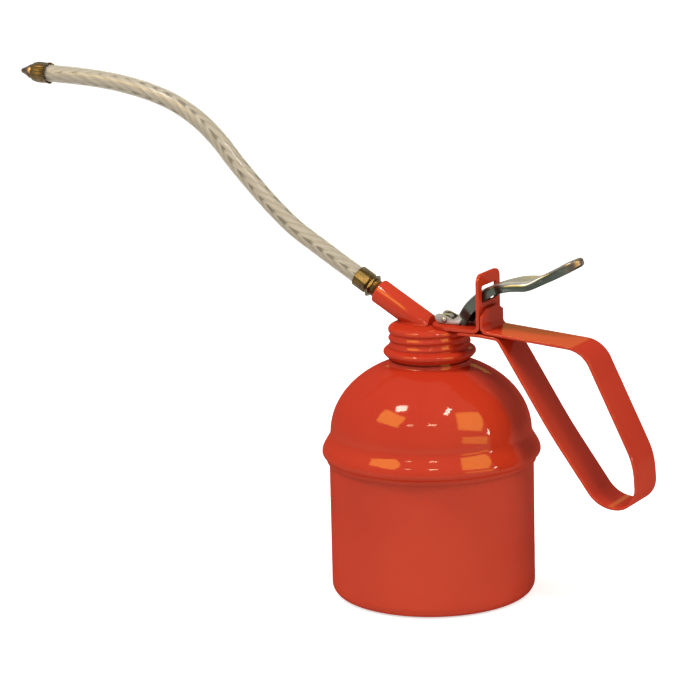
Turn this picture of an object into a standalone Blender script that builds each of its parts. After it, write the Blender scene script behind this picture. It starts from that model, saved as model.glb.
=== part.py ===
"""Thumb-lever pump oil can with a flexible braided hose spout.

Every size below is in millimetres and is turned into metres when a mesh is made.
The frame has +Z up, the middle of the can's base at the origin, the handle
towards +X and the spout towards -X. The lever works in the XZ plane.
"""

import math

import bmesh
import bpy
from mathutils import Matrix, Vector

# Units and clearances
MM = 0.001
GAP = 0.3
FIT = 0.15
BIG_SIDES = 48
SMALL_SIDES = 24

# The can: a cup and a dome of painted sheet steel
CAN_RADIUS = 44.0
SHEET = 0.8
BASE_CORNER = 4.75
CUP_HEIGHT = 67.3
DOME_LIP_Z = 58.9
BEAD_Z = 63.0
BEAD_PROUD = 3.0
BEAD_BELOW = 5.2
BEAD_ABOVE = 8.3
DOME_SPRING_Z = 69.4
DOME_RISE = 34.9
BASE_RING_RADIUS = 33.0
BASE_RING_WIDTH = 5.0
BASE_RING_DEPTH = 1.0

# The threaded neck and its screw cap
NECK_RADIUS = 17.3
NECK_SHOULDER_Z = 103.0
NECK_FILLET = 1.6
NECK_SOCKET_DEPTH = 2.5
THREAD_PITCH = 3.45
THREAD_DEPTH = 0.35
CAP_SKIRT_RADIUS = 17.25
THREAD_CLEARANCE = 0.35
CAP_TOP_Z = 118.0
CAP_LIP_Z = 103.8
CAP_FLARE_Z = 106.4
CAP_FLARE_RADIUS = 19.8
CAP_EDGE_ROUND = 1.6
GASKET_THICKNESS = 1.0

# The pump under the cap
PUMP_X = 9.5
BORE_RADIUS = 4.4
CYLINDER_WALL = 0.7
PUMP_HEAD_HEIGHT = 11.6
PUMP_HEAD_ROOF = 5.6
CYLINDER_FOOT_Z = 58.0
ROD_RADIUS = 1.5
ROD_CLEARANCE = 0.7
DELIVERY_X = -3.0
DELIVERY_PORT = 1.2
PACKING_HEIGHT = 3.0
PACKING_RADIUS = 3.3
PISTON_REST_Z = 76.0
PISTON_HEIGHT = 9.0
PISTON_RADIUS = 3.6
SEAL_HEIGHT = 2.4
SPRING_WIRE = 0.8
SPRING_COILS = 7
FOOT_SEAT_HEIGHT = 9.0
FOOT_BALL_RADIUS = 2.0
FOOT_BALL_LIFT = 1.5
PISTON_BALL_RADIUS = 1.5
PISTON_BALL_LIFT = 1.0
DELIVERY_BALL_RADIUS = 1.7
DELIVERY_BALL_LIFT = 1.2
STOP_PIN_RADIUS = 0.6
SUCTION_RADIUS = 2.5
SUCTION_BORE = 1.7
SUCTION_FOOT_Z = 8.0
STRAINER_RADIUS = 5.0
STRAINER_HOLE = 1.5
STRAINER_FOOT_Z = 3.5
STRAINER_HEIGHT = 9.0

# The bracket that carries the lever
ARM_WIDTH = 20.0
ARM_THICKNESS = 1.4
ARM_END_X = 3.0
UPRIGHT_X = 27.5
UPRIGHT_TOP_Z = 143.2
UPRIGHT_CORNER = 3.5
SLOT_HALF_WIDTH = 6.7
SLOT_FLOOR_Z = 130.8
SLOT_ROOF_Z = 138.0
BRACKET_BEND = 1.6

# The strap handle, a flat strip bent into a loop
STRAP_WIDTH = 20.0
STRAP_THICKNESS = 1.3
STRAP_BACK_TOP_Z = 128.4
STRAP_END_X = 18.6
STRAP_TOP_CORNER = (76.6, 115.4)
STRAP_SIDE_CORNER = (99.6, 69.6)
STRAP_HEEL_CORNER = (100.9, 49.5)
STRAP_TOE_CORNER = (83.4, 49.5)
STRAP_WAIST = (61.5, 79.2)
STRAP_FRONT_X = 37.4
STRAP_FRONT_DROP = 0.7
STRAP_LEVEL_X = 29.0
STRAP_BENDS = (2.6, 12.5, 30.0, 9.5, 14.0, 200.0, 3.2, 8.0)
STRAP_CHAMFER = 2.4

# The pressed lever
LEVER_SHEET = 1.2
LEVER_HALF_WIDTH = 6.2
PAD_HALF_WIDTH = 9.5
TIP_HALF_WIDTH = 5.4
LEVER_EDGE_ROUND = 1.1
LEVER_ROUTE = (
    (14.6, 121.9),
    (16.7, 125.3),
    (19.2, 128.5),
    (21.8, 131.3),
    (25.0, 134.1),
    (28.9, 136.6),
    (33.3, 138.5),
    (37.5, 139.9),
    (41.5, 141.0),
    (45.8, 141.6),
    (50.0, 142.0),
    (54.0, 143.7),
    (60.8, 147.2),
    (66.3, 150.3),
    (69.4, 151.8),
    (71.6, 152.6),
)
NECK_DEPTH = 5.2
BODY_DEPTH = 4.0
TIP_DEPTH = 2.7
TIP_BLUNTNESS = 0.92
TIP_ROUND_X = 66.0
PAD_DISH = 0.3
NECK_WIDENS_X = (15.5, 20.5)
NECK_FLATTENS_X = (22.0, 34.0)
PAD_WIDENS_X = (33.0, 40.0)
PAD_NARROWS_X = (48.0, 57.0)
TAIL_NARROWS_X = (54.0, 60.0)
TIP_CLOSES_X = (67.0, 72.5)
FULCRUM_X = 28.2
FULCRUM_NOTCH = 0.9
EAR_HALF_WIDTH = 4.2
EAR_THICKNESS = 1.2
EAR_FRONT_X = 4.9
EAR_TOP_Z = 123.7
EAR_BACK_X = 19.0
NECK_FOOT_X = 14.6
PIN_Z = 121.4
PIN_RADIUS = 0.8
PIN_HEAD_RADIUS = 1.25
PIN_HEAD_THICKNESS = 0.7
EYE_PLAY = 0.25
EYE_RIM = 0.6
EYE_REACH = 2.6
EYE_HALF_WIDTH = 1.6

# The spout: a painted socket, brass fittings and the hose
SPOUT_RISE = math.radians(30.0)
SOCKET_RADIUS = 5.4
SOCKET_BAR_LENGTH = 45.0
SOCKET_END = (-24.2, 130.5)
SOCKET_CUT_X = 1.7
SOCKET_BORE = 3.0
SOCKET_DRILLING = 1.9
SOCKET_THREAD_LENGTH = 9.0
BUSH_RADIUS = 3.9
BUSH_BORE = 1.0
PLUG_LENGTH = 1.2
NUT_START = 2.7
NUT_THICKNESS = 1.4
NUT_ACROSS_FLATS = 9.4
NUT_CORNER_RADIUS = 5.3
FERRULE_START = 5.0
FERRULE_ACROSS_FLATS = 8.8
FERRULE_LENGTH = 6.6
FERRULE_CORNER_RADIUS = 4.7
TIP_FERRULE_LENGTH = 8.5
TIP_SHOULDER = 1.7
EDGE_TURNED = 0.15
FERRULE_FLARE = 0.5
HOSE_RADIUS = 4.0
HOSE_ROUTE = (
    (-52.0, 146.7),
    (-65.4, 154.9),
    (-76.7, 164.2),
    (-86.3, 173.4),
    (-94.9, 182.2),
    (-103.2, 191.3),
    (-112.8, 199.4),
    (-124.7, 206.0),
    (-137.1, 210.2),
    (-149.5, 212.9),
    (-161.8, 214.6),
    (-175.0, 215.6),
)
HOSE_END = (-197.95, 216.47)
HOSE_STEP = 16.0
NOZZLE_SHOULDER = 3.35
NOZZLE_NECK = 2.0
NOZZLE_TIP = 1.3
NOZZLE_LENGTH = 7.0
NOZZLE_BORE = 0.8

# Paint, metal and hose colours
ENAMEL = (0.58, 0.052, 0.017, 1.0)
STEEL = (0.36, 0.37, 0.34, 1.0)
BRASS = (0.32, 0.21, 0.07, 1.0)
HOSE_CLEAR = (0.62, 0.55, 0.44, 1.0)
RUBBER = (0.02, 0.02, 0.02, 1.0)

# What follows from the sizes above
NECK_THREAD_RADIUS = CAP_SKIRT_RADIUS - SHEET - THREAD_CLEARANCE
CAP_ROOF_Z = CAP_TOP_Z - SHEET
GASKET_TOP_Z = CAP_ROOF_Z - GAP
NECK_TOP_Z = GASKET_TOP_Z - GASKET_THICKNESS - GAP
ARM_UNDER_Z = CAP_TOP_Z + FIT
ARM_TOP_Z = ARM_UNDER_Z + ARM_THICKNESS
UPRIGHT_BACK_X = UPRIGHT_X + ARM_THICKNESS
CYLINDER_RADIUS = BORE_RADIUS + CYLINDER_WALL
PUMP_HEAD_TOP_Z = CAP_ROOF_Z - GAP
PUMP_HEAD_FOOT_Z = PUMP_HEAD_TOP_Z - PUMP_HEAD_HEIGHT
PUMP_HEAD_ROOF_Z = PUMP_HEAD_TOP_Z - PUMP_HEAD_ROOF
FOOT_SEAT_TOP_Z = CYLINDER_FOOT_Z + FOOT_SEAT_HEIGHT
FULCRUM = Vector((FULCRUM_X, 0.0, SLOT_FLOOR_Z))
SPOUT_WAY = Vector((-math.cos(SPOUT_RISE), 0.0, math.sin(SPOUT_RISE)))
SOCKET_MOUTH = Vector((SOCKET_END[0], 0.0, SOCKET_END[1]))


def material(name, colour, metallic, roughness):
    """A plain Principled material, shared by every piece of one finish."""
    made = bpy.data.materials.new(name)
    made.use_nodes = True
    shader = made.node_tree.nodes["Principled BSDF"]
    shader.inputs["Base Color"].default_value = colour
    shader.inputs["Metallic"].default_value = metallic
    shader.inputs["Roughness"].default_value = roughness
    made.diffuse_color = colour
    return made


def empty(name, at):
    """An empty on a joint's axis, which the moving pieces hang from."""
    made = bpy.data.objects.new(name, None)
    made.location = Vector(at) * MM
    made.empty_display_size = 10 * MM
    bpy.context.collection.objects.link(made)
    return made


def piece(name, bm, finish, parent=None):
    """Turn a bmesh in millimetres into an object whose origin is its parent's."""
    origin = parent.location / MM if parent else Vector()
    bmesh.ops.remove_doubles(bm, verts=bm.verts, dist=1e-5)
    bmesh.ops.recalc_face_normals(bm, faces=bm.faces)
    bmesh.ops.translate(bm, verts=bm.verts, vec=-origin)
    bmesh.ops.scale(bm, verts=bm.verts, vec=(MM, MM, MM))
    mesh = bpy.data.meshes.new(name)
    bm.to_mesh(mesh)
    bm.free()
    mesh.shade_smooth()
    mesh.set_sharp_from_angle(angle=math.radians(35))
    made = bpy.data.objects.new(name, mesh)
    if finish:
        mesh.materials.append(finish)
    made.parent = parent
    bpy.context.collection.objects.link(made)
    return made


def boolean(target, bm, operation="DIFFERENCE"):
    """Cut a bmesh in millimetres from an object, or join it on."""
    cutter = piece(f"{target.name}_{operation.lower()}_{len(target.modifiers)}", bm, None, target.parent)
    cutter.hide_render = True
    cutter.display_type = "WIRE"
    modifier = target.modifiers.new(cutter.name, "BOOLEAN")
    modifier.operation = operation
    modifier.solver = "EXACT"
    modifier.object = cutter


def turned(profile, steps, axis_x=0.0):
    """Spin a closed outline of (radius, z) points round an upright axis."""
    bm = bmesh.new()
    corners = [bm.verts.new((radius, 0.0, z)) for radius, z in profile]
    edges = [bm.edges.new(pair) for pair in zip(corners, corners[1:] + corners[:1])]
    bmesh.ops.spin(
        bm,
        geom=corners + edges,
        cent=(0, 0, 0),
        axis=(0, 0, 1),
        angle=math.tau,
        steps=steps,
        use_merge=True,
        use_duplicate=False,
    )
    bmesh.ops.remove_doubles(bm, verts=bm.verts, dist=1e-4)
    bmesh.ops.translate(bm, verts=bm.verts, vec=(axis_x, 0, 0))
    return bm


def rod(radius, start, end, sides=SMALL_SIDES):
    """A plain round bar from one point to another."""
    start, end = Vector(start), Vector(end)
    way = end - start
    bm = bmesh.new()
    bmesh.ops.create_cone(
        bm, cap_ends=True, segments=sides, radius1=radius, radius2=radius, depth=way.length
    )
    turn = way.to_track_quat("Z", "Y").to_matrix().to_4x4()
    bmesh.ops.transform(bm, verts=bm.verts, matrix=Matrix.Translation((start + end) / 2) @ turn)
    return bm


def block(low, high):
    """A box between two corners."""
    low, high = Vector(low), Vector(high)
    bm = bmesh.new()
    bmesh.ops.create_cube(bm, size=1.0)
    bmesh.ops.scale(bm, verts=bm.verts, vec=high - low)
    bmesh.ops.translate(bm, verts=bm.verts, vec=(low + high) / 2)
    return bm


def ball(radius, at):
    bm = bmesh.new()
    bmesh.ops.create_uvsphere(bm, u_segments=12, v_segments=8, radius=radius)
    bmesh.ops.translate(bm, verts=bm.verts, vec=at)
    return bm


def along_spout(profile, steps, start=0.0):
    """Turn an outline of (radius, distance) points round the spout's own axis."""
    bm = turned(profile, steps)
    turn = SPOUT_WAY.to_track_quat("Z", "Y").to_matrix().to_4x4()
    bmesh.ops.transform(
        bm, verts=bm.verts, matrix=Matrix.Translation(SOCKET_MOUTH + SPOUT_WAY * start) @ turn
    )
    return bm


def arc(centre, radius, first, last, count):
    """Points on an arc between two angles in degrees, both ends included."""
    return [
        (
            centre[0] + radius * math.cos(math.radians(first + (last - first) * i / count)),
            centre[1] + radius * math.sin(math.radians(first + (last - first) * i / count)),
        )
        for i in range(count + 1)
    ]


def offset(line, distance):
    """The line moved to its left by a distance, point by point."""
    moved = []
    for i, point in enumerate(line):
        before = Vector(line[max(i - 1, 0)])
        after = Vector(line[min(i + 1, len(line) - 1)])
        way = (after - before).normalized()
        moved.append((point[0] - way.y * distance, point[1] + way.x * distance))
    return moved


def rounded(corners, radii):
    """A line through corners, each inner one rounded to its own radius."""
    line = [tuple(corners[0])]
    for before, corner, after, radius in zip(corners, corners[1:], corners[2:], radii):
        back = (Vector(before) - Vector(corner)).normalized()
        ahead = (Vector(after) - Vector(corner)).normalized()
        half = back.angle(ahead) / 2
        middle = Vector(corner) + (back + ahead).normalized() * radius / math.sin(half)
        start = Vector(corner) + back * radius / math.tan(half)
        turn = math.pi - 2 * half
        side = 1 if back.x * ahead.y - back.y * ahead.x < 0 else -1
        count = max(2, round(turn / math.radians(14)))
        for i in range(count + 1):
            spoke = Vector((start.x - middle.x, start.y - middle.y))
            spoke.rotate(Matrix.Rotation(side * turn * i / count, 2))
            line.append((middle.x + spoke.x, middle.y + spoke.y))
    line.append(tuple(corners[-1]))
    return line


def smooth(points, step):
    """Points at an even spacing along a Catmull-Rom curve through the given ones."""
    fine = []
    padded = [2 * points[0] - points[1], *points, 2 * points[-1] - points[-2]]
    for a, b, c, d in zip(padded, padded[1:], padded[2:], padded[3:]):
        for i in range(20):
            t = i / 20
            fine.append(
                0.5 * (2 * b + (c - a) * t + (2 * a - 5 * b + 4 * c - d) * t**2
                       + (3 * b - a - 3 * c + d) * t**3)
            )
    fine.append(points[-1])
    length = sum((b - a).length for a, b in zip(fine, fine[1:]))
    count = max(2, round(length / step))
    spaced, walked, target = [fine[0]], 0.0, length / count
    for a, b in zip(fine, fine[1:]):
        span = (b - a).length
        while walked + span >= target * len(spaced) and len(spaced) < count:
            spaced.append(a + (b - a) * ((target * len(spaced) - walked) / span))
        walked += span
    return spaced + [fine[-1]]


def ramp(value, start, end):
    """0 before start, 1 after end and a smooth step between them."""
    share = min(1.0, max(0.0, (value - start) / (end - start)))
    return share * share * (3 - 2 * share)


def roll_thread(bm, low, high, keep):
    """Roll the right-hand thread into a turned wall between two heights.

    Outside the threaded length the wall keeps the crest (keep = 1) or the
    root (keep = -1) of the thread, so that the mating thread passes it.
    """
    fade = THREAD_PITCH / 2
    for vertex in bm.verts:
        x, y, z = vertex.co
        radius = math.hypot(x, y)
        if radius < NECK_THREAD_RADIUS - SHEET / 2:
            continue
        share = ramp(z, low - fade, low) * (1 - ramp(z, high, high + fade))
        reach = ramp(z, low - 2 * fade, low - fade) * (1 - ramp(z, high + fade, high + 2 * fade))
        wave = math.cos(math.tau * z / THREAD_PITCH - math.atan2(y, x))
        shift = THREAD_DEPTH * (share * wave + (1 - share) * keep * reach)
        vertex.co.x *= (radius + shift) / radius
        vertex.co.y *= (radius + shift) / radius


def can_wall(z):
    """The outer radius of the dome at a height, with its seam bead."""
    share = max(0.0, (z - DOME_SPRING_Z) / DOME_RISE)
    radius = CAN_RADIUS * math.sqrt(max(0.0, 1 - share * share))
    reach = BEAD_BELOW if z < BEAD_Z else BEAD_ABOVE
    away = abs(z - BEAD_Z) / reach
    if away < 1:
        radius += BEAD_PROUD * math.cos(away * math.pi / 2) ** 2
    return radius


def make_can():
    inner = CAN_RADIUS - SHEET
    corner = (CAN_RADIUS - BASE_CORNER, BASE_CORNER)
    groove = BASE_RING_RADIUS
    outside = [(0.0, 0.0)]
    outside += [(groove - BASE_RING_WIDTH / 2, 0.0), (groove - BASE_RING_WIDTH / 4, BASE_RING_DEPTH)]
    outside += [(groove + BASE_RING_WIDTH / 4, BASE_RING_DEPTH), (groove + BASE_RING_WIDTH / 2, 0.0)]
    outside += arc(corner, BASE_CORNER, -90, 0, 6)
    outside += [(CAN_RADIUS, CUP_HEIGHT)]
    inside = [(inner, CUP_HEIGHT)]
    inside += arc(corner, BASE_CORNER - SHEET, 0, -90, 4)
    inside += [(radius, z + SHEET) for radius, z in outside[4:0:-1]]
    inside += [(0.0, SHEET)]
    piece("can_cup", turned(outside + inside, BIG_SIDES), enamel)

    # The neck starts where the dome's curve reaches the fillet's outer end
    fillet_start = NECK_RADIUS + NECK_FILLET
    dome_top = DOME_SPRING_Z + DOME_RISE * math.sqrt(1 - (fillet_start / CAN_RADIUS) ** 2)
    bead_top = BEAD_Z + BEAD_ABOVE
    turns = [math.acos((z - DOME_SPRING_Z) / DOME_RISE) for z in (bead_top, dome_top)]

    def dome_heights(bead_rows, dome_rows):
        """Heights up the wall: even ones over the bead, even turns over the dome."""
        rows = [DOME_LIP_Z + (bead_top - DOME_LIP_Z) * i / bead_rows for i in range(bead_rows + 1)]
        steps = [turns[0] + (turns[1] - turns[0]) * i / dome_rows for i in range(1, dome_rows + 1)]
        return rows + [DOME_SPRING_Z + DOME_RISE * math.cos(step) for step in steps]

    wall = [(can_wall(z), z) for z in dome_heights(9, 9)]
    wall[0] = (CAN_RADIUS + GAP + SHEET, DOME_LIP_Z)
    wall += [
        (NECK_RADIUS + NECK_FILLET * 0.35, dome_top + NECK_FILLET * 0.35),
        (NECK_RADIUS, dome_top + NECK_FILLET),
        (NECK_RADIUS, NECK_SHOULDER_Z),
    ]
    lining = offset([(can_wall(z), z) for z in dome_heights(6, 6)], SHEET)
    over_cup = CAN_RADIUS + GAP
    lining = [(max(r, over_cup) if z < CUP_HEIGHT + GAP else r, z) for r, z in lining]
    lining[0] = (CAN_RADIUS + GAP, DOME_LIP_Z)
    collar = NECK_RADIUS - SHEET
    lining += [(collar, dome_top + NECK_FILLET), (collar, NECK_SHOULDER_Z)]
    piece("can_dome", turned(wall + lining[::-1], BIG_SIDES), enamel)


def make_neck():
    """The threaded neck, a ring soldered into the dome's collar."""
    foot = NECK_SHOULDER_Z - NECK_SOCKET_DEPTH
    bore = NECK_THREAD_RADIUS - SHEET
    rows = 4 * round((NECK_TOP_Z - NECK_SHOULDER_Z) / THREAD_PITCH)
    rise = (NECK_TOP_Z - NECK_SHOULDER_Z) / rows
    wall = [(NECK_THREAD_RADIUS, foot)]
    wall += [(NECK_THREAD_RADIUS, NECK_SHOULDER_Z + rise * i) for i in range(rows + 1)]
    bm = turned(wall + [(bore, NECK_TOP_Z), (bore, foot)], BIG_SIDES)
    thread_low = NECK_SHOULDER_Z + THREAD_PITCH
    thread_high = NECK_TOP_Z - THREAD_PITCH * 0.75
    roll_thread(bm, thread_low, thread_high, keep=-1)
    piece("can_neck", bm, enamel)


def make_cap(head):
    crest = CAP_SKIRT_RADIUS + THREAD_DEPTH
    thread_low = CAP_FLARE_Z + 3.2
    thread_high = CAP_TOP_Z - CAP_EDGE_ROUND - THREAD_PITCH / 2
    wall = [(crest + 0.1, CAP_LIP_Z), (crest + 1.2, CAP_LIP_Z + 1.0)]
    wall += [(CAP_FLARE_RADIUS - 0.2, CAP_FLARE_Z - 0.7)]
    wall += [(CAP_FLARE_RADIUS, CAP_FLARE_Z), (CAP_FLARE_RADIUS - 0.4, CAP_FLARE_Z + 0.8)]
    wall += [(crest + 0.8, CAP_FLARE_Z + 1.6)]
    first = CAP_FLARE_Z + 2.2
    last = CAP_TOP_Z - CAP_EDGE_ROUND
    rows = 13
    wall += [(CAP_SKIRT_RADIUS, first + (last - first) * i / rows) for i in range(rows + 1)]
    lining = offset(wall, SHEET)[:-1]
    lining[0] = (wall[0][0] - SHEET, CAP_LIP_Z)
    corner = (CAP_SKIRT_RADIUS - CAP_EDGE_ROUND, CAP_TOP_Z - CAP_EDGE_ROUND)
    wall += arc(corner, CAP_EDGE_ROUND, 0, 90, 4)[1:]
    wall += [(0.0, CAP_TOP_Z), (0.0, CAP_ROOF_Z)]
    lining += [(CAP_SKIRT_RADIUS - SHEET, CAP_ROOF_Z)]
    bm = turned(wall + lining[::-1], BIG_SIDES)
    roll_thread(bm, thread_low, thread_high, keep=1)
    cap = piece("screw_cap", bm, enamel, head)
    reach = ROD_RADIUS + ROD_CLEARANCE
    boolean(cap, rod(reach, (PUMP_X, 0, CAP_ROOF_Z - 1), (PUMP_X, 0, CAP_TOP_Z + 1)))
    boolean(cap, rod(DELIVERY_PORT, (DELIVERY_X, 0, CAP_ROOF_Z - 1), (DELIVERY_X, 0, CAP_TOP_Z + 1)))


def make_gasket(riser):
    inner = PUMP_X + CYLINDER_RADIUS + GAP
    outer = CAP_SKIRT_RADIUS - SHEET - THREAD_DEPTH - GAP
    low = GASKET_TOP_Z - GASKET_THICKNESS
    ring = [(inner, low), (outer, low), (outer, GASKET_TOP_Z), (inner, GASKET_TOP_Z)]
    piece("cap_gasket", turned(ring, BIG_SIDES), rubber, riser)


def stadium(radius, x1, x2, low, high, count=10):
    """An upright solid with two round ends, between two heights."""
    bm = bmesh.new()
    outline = arc((x2, 0), radius, -90, 90, count) + arc((x1, 0), radius, 90, 270, count)
    face = bm.faces.new([bm.verts.new((x, y, low)) for x, y in outline])
    grown = bmesh.ops.extrude_face_region(bm, geom=[face])
    tops = [item for item in grown["geom"] if isinstance(item, bmesh.types.BMVert)]
    bmesh.ops.translate(bm, verts=tops, vec=(0, 0, high - low))
    return bm


def make_pump(head, plunger, foot, delivery, valve):
    reach = ROD_RADIUS + ROD_CLEARANCE
    body = stadium(CYLINDER_RADIUS, DELIVERY_X, PUMP_X, PUMP_HEAD_FOOT_Z, PUMP_HEAD_TOP_Z)
    pump_head = piece("pump_head", body, brass, head)
    boolean(pump_head, rod(reach, (PUMP_X, 0, PUMP_HEAD_FOOT_Z - 1), (PUMP_X, 0, PUMP_HEAD_TOP_Z + 1)))
    boolean(pump_head, rod(BORE_RADIUS, (PUMP_X, 0, PUMP_HEAD_FOOT_Z - 1), (PUMP_X, 0, PUMP_HEAD_ROOF_Z)))
    packing_z = PUMP_HEAD_TOP_Z - PACKING_HEIGHT
    boolean(
        pump_head,
        rod(PACKING_RADIUS + GAP, (PUMP_X, 0, packing_z - GAP), (PUMP_X, 0, PUMP_HEAD_TOP_Z + 1)),
    )
    chamber_z = CAP_ROOF_Z - 2 * GAP - 2 * DELIVERY_BALL_RADIUS - DELIVERY_BALL_LIFT
    port_z = (PUMP_HEAD_FOOT_Z + PUMP_HEAD_ROOF_Z) / 2 - 1
    port_end = DELIVERY_X - DELIVERY_PORT - 0.4
    boolean(pump_head, rod(DELIVERY_PORT, (port_end, 0, port_z), (PUMP_X - 1, 0, port_z), 12))
    riser = rod(DELIVERY_PORT - 0.2, (DELIVERY_X, 0, port_z), (DELIVERY_X, 0, chamber_z + 1), 12)
    boolean(pump_head, riser)
    boolean(
        pump_head,
        rod(DELIVERY_BALL_RADIUS + GAP, (DELIVERY_X, 0, chamber_z), (DELIVERY_X, 0, PUMP_HEAD_TOP_Z + 1)),
    )
    ball_z = chamber_z + DELIVERY_BALL_RADIUS + GAP
    piece("delivery_valve_ball", ball(DELIVERY_BALL_RADIUS, (DELIVERY_X, 0, ball_z)), steel, delivery)

    packing = [
        (reach, packing_z),
        (PACKING_RADIUS, packing_z),
        (PACKING_RADIUS, PUMP_HEAD_TOP_Z),
        (reach, PUMP_HEAD_TOP_Z),
    ]
    piece("gland_packing", turned(packing, SMALL_SIDES, PUMP_X), rubber, head)

    top = PUMP_HEAD_FOOT_Z - GAP
    barrel = [
        (BORE_RADIUS, CYLINDER_FOOT_Z),
        (CYLINDER_RADIUS, CYLINDER_FOOT_Z),
        (CYLINDER_RADIUS, top),
        (BORE_RADIUS, top),
    ]
    cylinder = piece("pump_cylinder", turned(barrel, SMALL_SIDES, PUMP_X), steel, head)
    pin_z = FOOT_SEAT_TOP_Z + STOP_PIN_RADIUS + GAP
    boolean(
        cylinder,
        rod(
            STOP_PIN_RADIUS + GAP,
            (PUMP_X, -CYLINDER_RADIUS - 1, pin_z),
            (PUMP_X, CYLINDER_RADIUS + 1, pin_z),
            12,
        ),
    )
    pin = rod(STOP_PIN_RADIUS, (PUMP_X, -CYLINDER_RADIUS, pin_z), (PUMP_X, CYLINDER_RADIUS, pin_z), 12)
    piece("ball_stop_pin", pin, steel, head)

    # The foot valve: a seat plug with a ball chamber above and the suction tube below
    chamber = FOOT_BALL_RADIUS + GAP
    chamber_foot = pin_z - STOP_PIN_RADIUS - GAP - FOOT_BALL_LIFT - 2 * FOOT_BALL_RADIUS
    plug = BORE_RADIUS - GAP
    socket = SUCTION_RADIUS + GAP
    socket_top = CYLINDER_FOOT_Z + FOOT_SEAT_HEIGHT / 3 - 1
    seat = [
        (socket, CYLINDER_FOOT_Z),
        (plug, CYLINDER_FOOT_Z),
        (plug, FOOT_SEAT_TOP_Z),
        (chamber, FOOT_SEAT_TOP_Z),
        (chamber, chamber_foot),
        (DELIVERY_PORT, chamber_foot - 0.6),
        (DELIVERY_PORT, socket_top),
        (socket, socket_top),
    ]
    piece("foot_valve_seat", turned(seat, SMALL_SIDES, PUMP_X), brass, head)
    foot_z = chamber_foot + FOOT_BALL_RADIUS + GAP
    piece("foot_valve_ball", ball(FOOT_BALL_RADIUS, (PUMP_X, 0, foot_z)), steel, foot)

    tube_top = socket_top - GAP
    tube = [
        (SUCTION_BORE, SUCTION_FOOT_Z),
        (SUCTION_RADIUS, SUCTION_FOOT_Z),
        (SUCTION_RADIUS, tube_top),
        (SUCTION_BORE, tube_top),
    ]
    piece("suction_tube", turned(tube, SMALL_SIDES, PUMP_X), steel, head)
    low, high = STRAINER_FOOT_Z, STRAINER_FOOT_Z + STRAINER_HEIGHT
    basket = STRAINER_RADIUS - SHEET
    cup = [
        (0.0, low),
        (STRAINER_RADIUS, low),
        (STRAINER_RADIUS, high),
        (socket, high),
        (socket, high - SHEET),
        (basket, high - SHEET),
        (basket, low + SHEET),
        (0.0, low + SHEET),
    ]
    strainer = piece("strainer", turned(cup, SMALL_SIDES, PUMP_X), brass, head)
    middle = (low + high) / 2
    centre = Vector((PUMP_X, 0, middle))
    for turn in range(3):
        angle = turn * math.pi / 3
        way = Vector((math.cos(angle), math.sin(angle), 0)) * (STRAINER_RADIUS + 1)
        boolean(strainer, rod(STRAINER_HOLE, centre - way, centre + way, 8))

    # The plunger: rod, eye, piston, seal and the ball inside the piston
    piston_top = PISTON_REST_Z + PISTON_HEIGHT
    eye_radius = PIN_RADIUS + EYE_PLAY + EYE_RIM
    stem = rod(ROD_RADIUS, (PUMP_X, 0, piston_top + GAP), (PUMP_X, 0, PIN_Z - PIN_RADIUS), 16)
    shaft = piece("piston_rod", stem, steel, plunger)
    boolean(shaft, long_hole(eye_radius, EYE_HALF_WIDTH), "UNION")
    boolean(shaft, long_hole(PIN_RADIUS + EYE_PLAY, EYE_HALF_WIDTH + 1))

    groove_low = PISTON_REST_Z + 2.0
    cavity = PISTON_BALL_RADIUS + GAP
    cavity_foot = PISTON_REST_Z + 1.6
    cavity_top = cavity_foot + 2 * PISTON_BALL_RADIUS + PISTON_BALL_LIFT + GAP
    groove = PISTON_RADIUS - 1.0
    seal_gap = SEAL_HEIGHT + 2 * GAP
    body = [
        (0.9, PISTON_REST_Z),
        (PISTON_RADIUS, PISTON_REST_Z),
        (PISTON_RADIUS, groove_low),
        (groove, groove_low),
        (groove, groove_low + seal_gap),
        (PISTON_RADIUS, groove_low + seal_gap),
        (PISTON_RADIUS, piston_top),
        (0.0, piston_top),
        (0.0, cavity_top),
        (cavity, cavity_top),
        (cavity, cavity_foot),
        (0.9, cavity_foot),
    ]
    piston = piece("piston", turned(body, SMALL_SIDES, PUMP_X), brass, plunger)
    port_z = groove_low + seal_gap + 1.0
    boolean(piston, rod(0.7, (PUMP_X - 5, 0, port_z), (PUMP_X + 5, 0, port_z), 8))
    seal = [
        (groove + GAP, groove_low + GAP),
        (BORE_RADIUS - GAP, groove_low + GAP),
        (BORE_RADIUS - GAP, groove_low + GAP + SEAL_HEIGHT),
        (groove + GAP, groove_low + GAP + SEAL_HEIGHT),
    ]
    piece("piston_seal", turned(seal, SMALL_SIDES, PUMP_X), rubber, plunger)
    ball_z = cavity_foot + PISTON_BALL_RADIUS + GAP
    piece("piston_valve_ball", ball(PISTON_BALL_RADIUS, (PUMP_X, 0, ball_z)), steel, valve)


def make_return_spring(head):
    """A coil spring round the rod, from the piston to the pump head's roof."""
    low = PISTON_REST_Z + PISTON_HEIGHT + GAP + SPRING_WIRE / 2
    high = PUMP_HEAD_ROOF_Z - GAP - SPRING_WIRE / 2
    radius = (BORE_RADIUS + ROD_RADIUS) / 2
    per_turn = 12
    count = SPRING_COILS * per_turn
    points = []
    for i in range(count + 1):
        angle = math.tau * i / per_turn
        rise = ramp(i / count, -0.15, 1.15)
        rise = (rise - ramp(0, -0.15, 1.15)) / (ramp(1, -0.15, 1.15) - ramp(0, -0.15, 1.15))
        spoke = Vector((math.cos(angle), math.sin(angle), 0)) * radius
        points.append(Vector((PUMP_X, 0, low + (high - low) * rise)) + spoke)
    least = min(
        (a - b).length for i, a in enumerate(points) for b in points[i + per_turn // 2 :]
    )
    print(f"least gap between the spring's turns {least - SPRING_WIRE:.2f} mm")
    tube_curve("return_spring", points, SPRING_WIRE / 2, 1, steel, head)


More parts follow.
